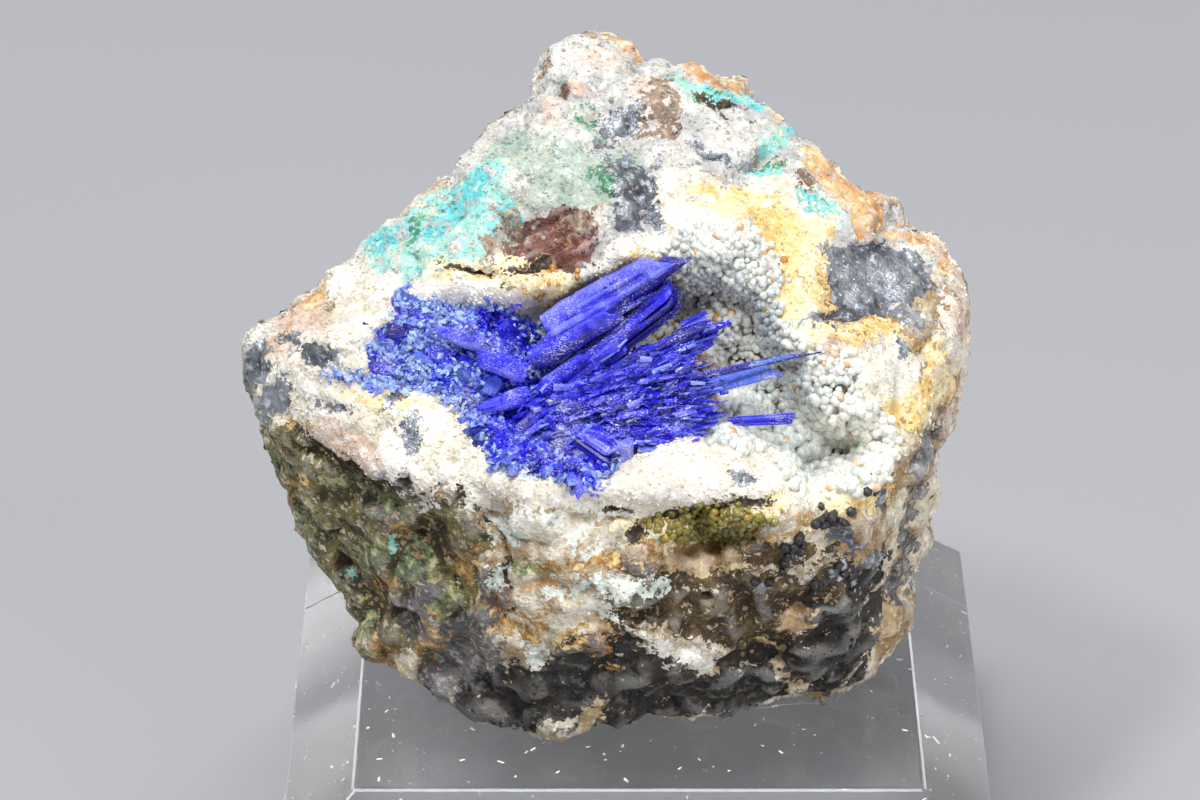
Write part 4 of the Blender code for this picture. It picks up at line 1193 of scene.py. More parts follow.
class Stone:
    """The stone itself with its minerals."""

    def __init__(self, sizes: StoneSizes) -> None:
        """Keep the sizes."""
        self.sizes = sizes
        self.surface: Surface | None = None
        self.finish: bpy.types.Material | None = None
        self.amounts: dict[str, np.ndarray] = {}

    def remeshed(self) -> tuple[np.ndarray, np.ndarray]:
        """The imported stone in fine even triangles.

        Returns:
            Its points in millimetres and its triangles.
        """
        copy = bpy.data.objects.new("stone_copy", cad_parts["matrix"].data.copy())
        bpy.context.scene.collection.objects.link(copy)
        voxels = copy.modifiers.new("Remesh", "REMESH")
        voxels.mode = "VOXEL"
        voxels.voxel_size = self.sizes.voxel * MM
        soft = copy.modifiers.new("Smooth", "SMOOTH")
        soft.factor = 0.5
        soft.iterations = self.sizes.smoothing
        made = bmesh.new()
        made.from_object(copy, bpy.context.evaluated_depsgraph_get())
        bmesh.ops.triangulate(made, faces=made.faces)
        points = np.array([vertex.co for vertex in made.verts]) / MM
        faces = np.array([[corner.index for corner in face.verts] for face in made.faces])
        made.free()
        bpy.data.objects.remove(copy)
        return points, faces

    @staticmethod
    def normals(points: np.ndarray, faces: np.ndarray) -> np.ndarray:
        """The normal at each point.

        Args:
            points: rows of coordinates.
            faces: triangles.

        Returns:
            One unit row for each point.
        """
        corners = points[faces]
        flat = np.cross(corners[:, 1] - corners[:, 0], corners[:, 2] - corners[:, 0])
        total = np.zeros_like(points)
        for corner in range(3):
            np.add.at(total, faces[:, corner], flat)
        return unit(total)

    def rise(self, relief: Relief, points: np.ndarray) -> np.ndarray:
        """How far a kind of relief stands out at each point.

        Args:
            relief: the kind.
            points: rows of coordinates.

        Returns:
            Millimetres, above or below 0.
        """
        sizes = self.sizes
        if relief is Relief.DRUZY:
            big, small = Noise.cells(points, 1.15, 30)[0], Noise.cells(points, 0.6, 31)[0]
            return (0.5 - big**2) * sizes.druzy[0] * 1.4 + (0.5 - small**2) * sizes.druzy[1] * 1.4
        if relief is Relief.SUNKEN:
            return np.full(len(points), -sizes.sunken)
        if relief is Relief.LUMPY:
            total = sizes.lumps[0] * Noise.smooth(points, 2.4, 43)
            total += sizes.lumps[1] * (0.5 - Noise.cells(points, 1.3, 44)[0] ** 2) * 1.4
            return total + sizes.lumps[2] * Noise.smooth(points, 0.65, 45, 2)
        if relief is Relief.CRAGGY:
            total = sizes.craggy[0] * Noise.smooth(points, 3.2, 40)
            total += sizes.craggy[1] * (0.5 - np.abs(Noise.smooth(points, 1.5, 41)) * 2.0)
            return total + sizes.craggy[2] * Noise.smooth(points, 0.7, 42)
        if relief is Relief.STEPPED:
            near, second, chance = Noise.cells(points, 0.75, 50)
            return (chance - 0.5) * 2.0 * sizes.step * eased((second - near) * 5.0)
        if relief is Relief.STRIATED:
            spots = FaceFrame.from_stand(points)
            across = spots[:, 1] * 0.9 - spots[:, 0] * 0.4
            return sizes.striae * np.sin(across * 9.0 + Noise.smooth(points, 0.9, 60) * 2.0)
        return sizes.smooth * Noise.smooth(points, 0.9, 70, 2)

    def wandering(self, points: np.ndarray) -> np.ndarray:
        """Where each point is seen, moved about a little so that patches have natural borders.

        Args:
            points: rows of coordinates.

        Returns:
            Rows of x, up on the face plane.
        """
        spots = FaceFrame.sighted(points)
        for axis in (0, 1):
            spots[:, axis] += self.sizes.wander[0] * Noise.smooth(points, 2.2, 80 + axis)
            spots[:, axis] += self.sizes.wander[1] * Noise.smooth(points, 0.8, 90 + axis, 2)
        return spots

    @staticmethod
    def hollows(points: np.ndarray, normals: np.ndarray, faces: np.ndarray, rounds: int) -> np.ndarray:
        """How deep each point lies below its neighbours.

        Args:
            points: rows of coordinates.
            normals: the normal at each point.
            faces: triangles.
            rounds: how far the neighbourhood reaches, in edges.

        Returns:
            Millimetres, above 0 in hollows.
        """
        ends = np.concatenate([faces[:, [0, 1]], faces[:, [1, 2]], faces[:, [2, 0]]])
        number = np.bincount(ends.ravel(), minlength=len(points))[:, None]
        around = points.copy()
        for _ in range(rounds):
            total = np.stack([
                np.bincount(ends[:, 0], around[ends[:, 1], axis], len(points))
                + np.bincount(ends[:, 1], around[ends[:, 0], axis], len(points))
                for axis in range(3)
            ], axis=1)
            around = total / number
        return ((around - points) * normals).sum(axis=1)

    def build(self) -> bpy.types.Object:
        """Build and dress the stone.

        Returns:
            The stone's object.
        """
        points, faces = self.remeshed()
        normals = self.normals(points, faces)
        facing = FaceFrame.facing(points, normals)
        weights: dict[Relief, np.ndarray] = {relief: np.zeros(len(points)) for relief in Relief}
        spots = self.wandering(points)
        for item in FIELDS:
            amount = item.amount(points, spots, facing)
            self.amounts[item.mineral.name] = amount
            share = eased(0.5 + amount * 4.0) if item.mineral is not FRONT else np.ones(len(points))
            for relief in Relief:
                weights[relief] = weights[relief] * (1.0 - share)
            weights[item.mineral.relief] = weights[item.mineral.relief] + share
        out = self.sizes.growth + sum(weights[relief] * self.rise(relief, points) for relief in Relief)
        points = points + normals * out[:, None]
        self.surface = Surface(points, self.normals(points, faces), faces)
        values = {name: amount for name, amount in self.amounts.items() if name != "front"}
        values["hollow"] = self.hollows(points, self.surface.normals, faces, self.sizes.hollow_rounds)
        values["tone"] = np.full(len(points), 0.5)
        pale = np.maximum.reduce([self.amounts[key] for key in PALE])
        values["bright"] = eased(pale * 2.0 + 0.6) * facing
        self.amounts["bright"] = values["bright"]
        shape = Shape(points, faces, values)
        self.finish = StoneFinish().material()
        stone = shape.made("stone", self.finish, True)
        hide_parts("matrix")
        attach(stone, "root")
        return stone


@dataclass
class Blade:
    """A crystal blade from its root to its tip, in face millimetres, built of one or of many laths.

    Tone runs from deep blue at 0 to pale violet at 1, partly painted light: low for shaded lower parts, high
    for a lit violet sheen.
    Azure runs from none to 1 and on some blades is a painted reflection. Shade is painted shade, how much
    deeper the blue is along the right-hand side, taper how much narrower the blade is at its tip.
    """

    root: tuple[float, float, float]
    tip: tuple[float, float, float]
    width: float
    thickness: float
    roll: float
    laths: int = 1
    tone: float = 0.5
    spread: float = 0.06
    azure: float = 0.0
    shade: float = 0.2
    taper: float = 0.35

    WEAR = 0.09
    SLANT_START, SLANT_LENGTH = 0.84, 0.16
    THINS_FROM = 0.8
    STRIAE = 0.3

    def axes(self) -> tuple[np.ndarray, ...]:
        """Its place and directions.

        Returns:
            The root, the tip, the unit vector between them, and those across its broad and thin sides.
        """
        root, tip = FaceFrame.to_stand(np.array([self.root, self.tip]))
        axis = unit(tip - root)
        roll = math.radians(self.roll)
        flat = unit(np.cross(axis, FaceFrame.towards_eye()))
        broad = flat * math.cos(roll) + np.cross(flat, axis) * math.sin(roll)
        return root, tip, axis, broad, np.cross(axis, broad)

    def grown(self, rows: int, sides: int, salt: int) -> Shape:
        """The blade as one crystal with striated sides, worn edges and a slanting end.

        Args:
            rows: how many rings of points it has along its length.
            sides: how many points each ring has.
            salt: another salt gives other wear.

        Returns:
            Its mesh, with the values its finish needs.
        """
        root, tip, axis, broad, thin = self.axes()
        length = float(np.linalg.norm(tip - root))
        share = np.repeat(np.linspace(0.0, 1.0, rows), sides)
        turn = np.tile(np.arange(sides) * 2.0 * math.pi / sides, rows)
        across, deep = np.cos(turn), np.sin(turn)
        across = np.sign(across) * np.abs(across) ** 0.7
        worn = np.stack([share * length, across * self.width * 0.3, deep * 0.1], axis=1) + salt * 3.7
        width = self.width / 2.0 * (0.75 + 0.25 * eased(share * 5.0)) * (1.0 - self.taper * share**1.4)
        width = width * (1.0 + self.WEAR * Noise.smooth(worn, 0.55, salt, 2))
        beyond = share - self.SLANT_START + 0.04 * Noise.smooth(worn, 0.3, salt + 5)
        low = -1.0 + 1.6 * eased(beyond / self.SLANT_LENGTH)
        side = low + (across + 1.0) / 2.0 * (1.0 - low)
        ending = eased((share - self.THINS_FROM) / 0.2)
        thick = self.thickness / 2.0 * (1.0 - 0.8 * ending)
        lines = Noise.smooth(worn * np.array([0.3, 1.0, 1.0]), 0.16, salt + 9, 2)
        thick = thick * (1.0 + self.STRIAE * lines)
        points = root + axis * (share * length)[:, None]
        points = points + broad * (side * width)[:, None] + thin * (deep * thick)[:, None]
        rings = ((1.0, 0.0),) * rows
        zones = Noise.smooth(worn * np.array([0.5, 1.0, 1.0]), 0.7, salt + 12, 2)
        # painted shade: the blue is deeper along one long side of the blade
        tone = self.tone - self.shade * eased(across * 1.2 + 0.4 + zones) + 0.25 * zones
        values = {
            "tone": np.clip(tone, 0.0, 1.0),
            "warmth": np.full(len(points), self.azure),
            "along": share * length,
            "across": across * self.width,
        }
        return Shape(points, Form.spindle(sides, rings)[1], values)

    @staticmethod
    def turns(axes: np.ndarray, broad: np.ndarray) -> np.ndarray:
        """How far crystals are turned round their axes when their broad side lies along a direction.

        Args:
            axes: the crystals' axes, one in each row.
            broad: the direction.

        Returns:
            An angle in radians for each.
        """
        helper = np.where(np.abs(axes[:, 2:3]) < 0.9, [[0.0, 0.0, 1.0]], [[1.0, 0.0, 0.0]])
        side = unit(np.cross(helper, axes))
        return np.arctan2(np.cross(axes, side) @ broad, side @ broad)


@dataclass
class LinariteSizes:
    """Numbers of small blue crystals and the smallest half width and its reach, in millimetres."""

    crumbs: int = 13000
    crumb_width: tuple[float, float] = (0.035, 0.17)
    glitter: int = 6500
    glitter_width: tuple[float, float] = (0.025, 0.15)
    stubs: int = 190
    rows: int = 48
    sides: int = 16
    stub_rows: int = 12
    stub_sides: int = 8
    seed: int = 7


class Linarite:
    """The blue crystals: the fan of blades, the druse at its foot and the lone blade."""

    BLADES = (
        Blade((-4.8, 25.6, 20.2), (2.0, 31.0, 21.3), 1.9, 1.2, 48, 18, 0.05),
        Blade((-4.8, 27.9, 20.9), (-0.6, 31.2, 21.9), 1.3, 0.8, 12, 10, 0.6),
        Blade((-5.4, 25.0, 20.6), (-0.8, 28.4, 21.4), 1.4, 0.9, 30, 10, 0.3),
        Blade((-5.2, 24.8, 20.2), (4.2, 29.0, 20.9), 0.9, 0.6, 20, 8, 0.35),
        Blade((-5.2, 24.6, 20.4), (2.9, 27.8, 21.0), 1.4, 0.6, 10, 9, 0.45),
        Blade((-5.0, 24.2, 20.8), (3.1, 26.7, 21.4), 1.2, 0.5, 15, 8, 0.5),
        Blade((-5.4, 23.6, 20.8), (4.0, 25.7, 21.6), 1.2, 0.6, 20, 8, 0.4),
        Blade((-5.0, 23.2, 20.8), (3.8, 24.4, 21.6), 1.1, 0.7, 30, 8, 0.3),
        Blade((-4.2, 22.8, 21.2), (3.6, 23.4, 22.0), 1.0, 0.6, 5, 8, 0.35),
        Blade((-5.2, 24.6, 21.0), (-1.2, 21.8, 22.7), 1.3, 0.8, 20, 6, 0.3),
    )
    # Tones are partly painted light: upper plates pale violet for a lit sheen, lower ones deep blue for
    # shade; the azure on the two right-hand plates is a painted reflection.
    PLATES = (
        Blade((-4.9, 28.9, 20.9), (1.5, 32.5, 22.5), 1.75, 0.6, 14, tone=0.85, shade=0.2, taper=0.3),
        Blade((-4.4, 28.0, 20.6), (2.5, 32.8, 22.3), 1.6, 0.9, 30, tone=0.12, shade=0.2),
        Blade((-5.6, 27.1, 20.8), (-1.0, 29.7, 22.0), 1.5, 0.7, 16, tone=0.7, shade=0.6),
        Blade((-5.2, 25.4, 20.8), (0.6, 29.4, 21.7), 0.9, 0.6, 30, tone=0.4),
        Blade((-5.9, 26.5, 21.3), (-8.6, 27.4, 21.8), 1.3, 0.6, 14, tone=0.8, shade=0.3, taper=0.2),
        Blade((-5.0, 25.0, 21.0), (4.3, 29.4, 21.8), 0.7, 0.45, 28, tone=0.3),
        Blade((-5.0, 24.8, 21.2), (2.8, 27.6, 21.8), 1.1, 0.4, 8, tone=0.7, shade=0.4),
        Blade((-4.6, 28.5, 21.3), (1.9, 32.3, 22.7), 0.5, 0.25, 20, tone=1.0, shade=0.1, taper=0.5),
        Blade((-3.2, 29.9, 21.6), (0.4, 31.9, 22.7), 0.35, 0.2, 4, tone=0.95, taper=0.5),
        Blade((-4.6, 27.6, 21.0), (1.2, 30.9, 22.4), 0.45, 0.3, 40, tone=0.3, taper=0.4),
        Blade((-4.9, 24.5, 21.6), (9.4, 27.7, 22.4), 0.42, 0.35, 30, tone=0.2, taper=0.1),
        Blade((5.2, 26.75, 22.2), (8.0, 27.4, 22.5), 0.26, 0.2, 30, tone=0.9, azure=0.7),
        Blade((-4.9, 24.2, 21.4), (3.6, 25.9, 22.1), 0.8, 0.4, 16, tone=0.55, shade=0.4),
        Blade((-4.8, 23.8, 21.3), (2.6, 24.6, 22.0), 0.8, 0.45, 30, tone=0.3),
        Blade((-4.4, 23.2, 21.5), (3.2, 23.6, 22.2), 0.6, 0.4, 4, tone=0.6),
        Blade((3.0, 25.6, 21.0), (7.4, 26.7, 21.9), 1.0, 0.3, 40, tone=0.6, azure=0.55, taper=0.1),
        Blade((-1.1, 20.9, 21.6), (-0.8, 23.2, 22.5), 1.5, 0.7, 6, tone=1.0, azure=0.3, taper=0.3),
        Blade((-4.0, 23.2, 21.9), (-4.6, 20.8, 22.6), 1.2, 0.7, 20, tone=0.35, shade=0.3),
        Blade((-3.4, 22.5, 21.9), (-1.2, 20.6, 22.7), 1.1, 0.7, 12, tone=0.2),
        Blade((-5.0, 24.4, 21.2), (-7.4, 22.7, 22.2), 1.1, 0.6, 24, tone=0.45, taper=0.6),
        Blade((-5.8, 25.4, 21.2), (-8.6, 24.5, 22.0), 1.1, 0.5, 12, tone=0.7, taper=0.6),
        Blade((-8.2, 28.0, 21.1), (-10.8, 28.8, 21.9), 1.1, 0.5, 12, tone=0.9, azure=0.2, taper=0.6),
        Blade((-4.6, 24.6, 21.5), (-0.6, 25.2, 22.3), 1.0, 0.5, 10, tone=0.35, taper=0.5),
        Blade((-4.6, 23.9, 21.6), (-1.0, 22.9, 22.5), 0.9, 0.5, 20, tone=0.55, taper=0.5),
        Blade((-5.2, 25.6, 21.1), (-2.6, 27.6, 22.0), 0.9, 0.5, 20, tone=0.6, taper=0.5),
    )
    FAN = BLADES[3:9]
    FILLED = 0.7
    LATH, LATH_SLANT = ((0.8, 0.0), (1.0, 0.2), (1.0, 0.96), (0.7, 1.0)), 0.025
    FLAKE = ((1.1, -1.0), (0.8, 1.0))
    CRUMB = ((1.2, -1.0), (0.9, 1.0))
    PLATE_FINISH = BlueFinish(
        "linarite_plates", clear=0.3, rough=0.14, glints=0.65, striae=0.09, pale=paint(118, 164, 255)
    )
    GLITTER_FINISH = BlueFinish("linarite_glitter", rough=0.1, clear=0.25)
    CRUMB_FINISH = BlueFinish(
        "linarite_crumbs", bright=paint(120, 120, 255), pale=paint(190, 222, 255), clear=0.2
    )
    HUB = (-5.0, 25.2, 18.6)
    LONE = Blade((4.6, 24.0, 21.2), (8.2, 24.2, 21.6), 0.8, 0.5, 20, 4, 0.35)
    DRUSE = (
        (-9.6, 27.7, 4.2, 2.2, 5), (-6.2, 25.1, 3.1, 2.8, -25), (-3.4, 23.0, 2.6, 2.0, -10),
        (-12.2, 29.5, 0.35, 1.0, -25), (-13.9, 26.3, 1.3, 0.3, -8), (-12.3, 27.7, 1.8, 1.5),
    )

    def __init__(self, sizes: LinariteSizes) -> None:
        """Keep the sizes and the source of chance."""
        self.sizes = sizes
        self.dice = np.random.default_rng(sizes.seed)

    def laths(self, swarm: Swarm, blade: Blade) -> None:
        """Add one blade's laths.

        Args:
            swarm: where they go.
            blade: the blade.
        """
        dice, count = self.dice, blade.laths * 2
        root, tip, axis, broad, thin = blade.axes()
        broadness = dice.random(count) ** 2.5
        across = dice.uniform(-0.5, 0.5, count) * (1.0 - 0.7 * broadness)
        deep = dice.uniform(-0.5, 0.5, count)
        start = root + broad * (across * blade.width * self.FILLED)[:, None]
        start = start + thin * (deep * blade.thickness * self.FILLED)[:, None]
        fan = broad * (across * blade.spread)[:, None] + thin * (deep * blade.spread)[:, None]
        axes = unit(axis + fan + dice.normal(0.0, 0.008, (count, 3)))
        short = dice.uniform(0.0, 0.28, count) ** 1.5 * (0.4 + np.abs(across))
        length = np.linalg.norm(tip - root) * (1.0 - short)
        width = blade.width * (0.05 + 0.36 * broadness)
        thick = blade.thickness * dice.uniform(0.06, 0.22, count)
        turns = blade.turns(axes, broad) + dice.normal(0.0, 0.08, count)
        tones = np.clip(blade.tone + dice.normal(0.0, 0.2, count), 0.0, 1.0)
        sizes = np.stack([width, thick, length], axis=1)
        swarm.add(start, axes, sizes, turns, tone=tones, warmth=np.zeros(count))

    def druse(self, stone: Stone, count: int) -> tuple[np.ndarray, np.ndarray, np.ndarray]:
        """Pick places in the druse at the fan's foot.

        Args:
            stone: the stone it grows on.
            count: how many places.

        Returns:
            The places, the normals there and how far inside the druse each lies, in millimetres.
        """
        surface = stone.surface
        spots = stone.wandering(surface.points)
        depth = Patch.depth(self.DRUSE, spots)
        wanted = eased(depth * 1.4 + 0.45) * (FaceFrame.facing(surface.points, surface.normals) > 0.5)
        places, normals, found = surface.scattered(count, wanted, self.dice, {"depth": depth})
        return places, normals, found["depth"]

    def stubs(self, stone: Stone) -> list[Blade]:
        """Short blades in the druse that point away from the fan's foot.

        Args:
            stone: the stone they grow on.

        Returns:
            The blades.
        """
        dice = self.dice
        places, _, depth = self.druse(stone, self.sizes.stubs)
        spots = FaceFrame.from_stand(places)
        ways = unit(spots - np.array(self.HUB) + dice.normal(0.0, 0.9, spots.shape))
        clumps = Noise.smooth(places, 1.4, 5, 2)
        made = []
        for spot, way, deep, clump in zip(spots, ways, depth, clumps):
            length = dice.uniform(0.5, 1.7) * min(1.0, 0.5 + max(deep, 0.0))
            width = length * dice.uniform(0.35, 0.8)
            tone = float(np.clip(0.5 + clump * 0.9 + dice.normal(0.0, 0.2), 0.0, 1.0))
            azure = 0.5 if dice.random() < 0.3 or deep < 0.4 else 0.0
            ends = tuple(spot - way * 0.2), tuple(spot + way * length)
            made.append(Blade(*ends, width, width * dice.uniform(0.3, 0.6), dice.uniform(-30.0, 50.0),
                              tone=tone, azure=azure, shade=0.35, taper=0.25))
        return made

    def plates(self, stone: Stone) -> bpy.types.Object:
        """The single clean blades, long ones in the fan and short ones in the druse.

        Args:
            stone: the stone they grow on.

        Returns:
            Their object.
        """
        sizes = self.sizes
        grown = [blade.grown(sizes.rows, sizes.sides, salt) for salt, blade in enumerate(self.PLATES)]
        first = len(grown)
        grown += [
            blade.grown(sizes.stub_rows, sizes.stub_sides, first + salt)
            for salt, blade in enumerate(self.stubs(stone))
        ]
        shift = np.cumsum([0] + [len(shape.points) for shape in grown[:-1]])
        points = np.concatenate([shape.points for shape in grown])
        faces = np.concatenate([shape.faces + first for shape, first in zip(grown, shift)])
        values = {key: np.concatenate([shape.values[key] for shape in grown]) for key in grown[0].values}
        return self.dressed(Shape(points, faces, values), self.PLATE_FINISH)

    def build(self, stone: Stone) -> list[bpy.types.Object]:
        """Build and dress the blue crystals.

        Args:
            stone: the stone they grow on.

        Returns:
            The spray's and the lone blade's objects.
        """
        profile = Form.spindle(6, self.LATH)
        profile[0][:, 2] -= (profile[0][:, 0] + 1.0) * self.LATH_SLANT * (profile[0][:, 2] > 0.9)
        swarm = Swarm(profile)
        for blade in self.BLADES:
            self.laths(swarm, blade)
        spray = self.dressed(self.striped(swarm), BlueFinish("linarite_blades", rough=0.2))
        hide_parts("linarite_spray")
        single = Swarm(profile)
        self.laths(single, self.LONE)
        lone = self.dressed(self.striped(single), BlueFinish("linarite_lone"))
        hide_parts("linarite_lone_blade")
        return [spray, lone, self.plates(stone), self.crumbs(stone), self.glitter()]

    @staticmethod
    def striped(swarm: Swarm) -> Shape:
        """A swarm's shape with the places along and across each crystal that its striations need.

        Args:
            swarm: the crystals.

        Returns:
            Their shape.
        """
        shape, points = swarm.shape(), swarm.form[0]
        copies = len(shape.points) // len(points)
        shape.values["along"] = np.tile(points[:, 2], copies) * 8.0
        shape.values["across"] = np.tile(points[:, 0] + points[:, 1], copies)
        return shape

    @staticmethod
    def dressed(shape: Shape, finish: BlueFinish) -> bpy.types.Object:
        """Make a shape of blue crystals an object.

        Args:
            shape: the crystals.
            finish: their finish, whose name the object takes.

        Returns:
            The object.
        """
        thing = shape.made(finish.name, finish.material(), False)
        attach(thing, "root")
        return thing

    def glitter(self) -> bpy.types.Object:
        """The small broken plates that lie on the blades and fill the fan's heart.

        Returns:
            Their object.
        """
        dice, count = self.dice, self.sizes.glitter
        weights = np.array([blade.width * math.dist(blade.root, blade.tip) for blade in self.FAN])
        picked = dice.choice(len(self.FAN), count, p=weights / weights.sum())
        ends = np.array([(blade.root, blade.tip) for blade in self.FAN])[picked]
        widths = np.array([blade.width for blade in self.FAN])[picked]
        share = dice.random(count) ** 1.3 * 0.96
        spots = ends[:, 0] + (ends[:, 1] - ends[:, 0]) * share[:, None]
        spots += dice.normal(0.0, 1.0, (count, 3)) * (widths * 0.36)[:, None]
        spots[:, 2] += 0.28
        ways = unit(FaceFrame.to_stand(ends[:, 1]) - FaceFrame.to_stand(ends[:, 0]))
        lean = unit(ways + dice.normal(0.0, 0.2, (count, 3)) * (1.8 - share)[:, None])
        least, reach = self.sizes.glitter_width
        size = least + reach * dice.random(count) ** 2.5
        thin, long = dice.uniform(0.15, 0.4, count), dice.uniform(1.5, 5.0, count)
        swarm = Swarm(Form.spindle(4, self.FLAKE))
        places = FaceFrame.to_stand(spots)
        clumps = Noise.smooth(places, 0.9, 3, 2)
        tones = np.clip(0.62 + clumps * 0.8 + dice.normal(0.0, 0.22, count), 0.0, 1.0)
        warmth = (dice.random(count) < 0.12) * dice.uniform(0.3, 0.9, count)
        turns = dice.uniform(0, FULL_TURN, count)
        sizes = np.stack([size, size * thin, size * long], axis=1)
        swarm.add(places, lean, sizes, turns, tone=tones, warmth=warmth)
        return self.dressed(self.striped(swarm), self.GLITTER_FINISH)

    def crumbs(self, stone: Stone) -> bpy.types.Object:
        """The small crystals at the fan's foot, paler towards the druse's left end and its edges.

        Args:
            stone: the stone they grow on.

        Returns:
            Their object.
        """
        dice = self.dice
        places, normals, depth = self.druse(stone, self.sizes.crumbs)
        count = len(places)
        lean = unit(normals + dice.normal(0.0, 0.9, normals.shape))
        least, reach = self.sizes.crumb_width
        size = least + reach * dice.random(count) ** 2.4
        flat = size * dice.uniform(0.25, 0.8, count)
        sizes = np.stack([size, flat, size * dice.uniform(0.8, 2.4, count)], axis=1)
        places = places + normals * (dice.random(count) * 0.25 * eased(depth * 1.5))[:, None]
        left = eased((-6.5 - FaceFrame.sighted(places)[:, 0]) / 6.0)
        clumps = Noise.smooth(places, 1.1, 5, 2)
        tones = np.clip(0.5 + clumps * 0.9 + left * 0.2 + dice.normal(0.0, 0.2, count), 0.0, 1.0)
        border = eased(0.75 - depth * 1.3)
        pale = np.clip(left * 0.9 + border * 0.8 + clumps * 0.6 + 0.08, 0.1, 0.97)
        warmth = (dice.random(count) < pale) * dice.uniform(0.4, 1.0, count)
        swarm = Swarm(Form.spindle(4, self.CRUMB))
        swarm.add(places, lean, sizes, dice.uniform(0, FULL_TURN, count), tone=tones, warmth=warmth)
        return self.dressed(self.striped(swarm), self.CRUMB_FINISH)


@dataclass
class GrainSizes:
    """Numbers and sizes of the fine grains, in millimetres."""

    sugar: int = 14500
    sugar_width: tuple[float, float] = (0.05, 0.17)
    rubble: int = 8000
    rubble_width: tuple[float, float] = (0.05, 0.2)
    seed: int = 21


@dataclass(frozen=True)
class Cluster:
    """Rounded crystals in some ovals on the face: their number, smallest and largest radius."""

    name: str
    ovals: Ovals
    count: int
    radius: tuple[float, float]
    finish: GrainFinish
    node: str | None = None


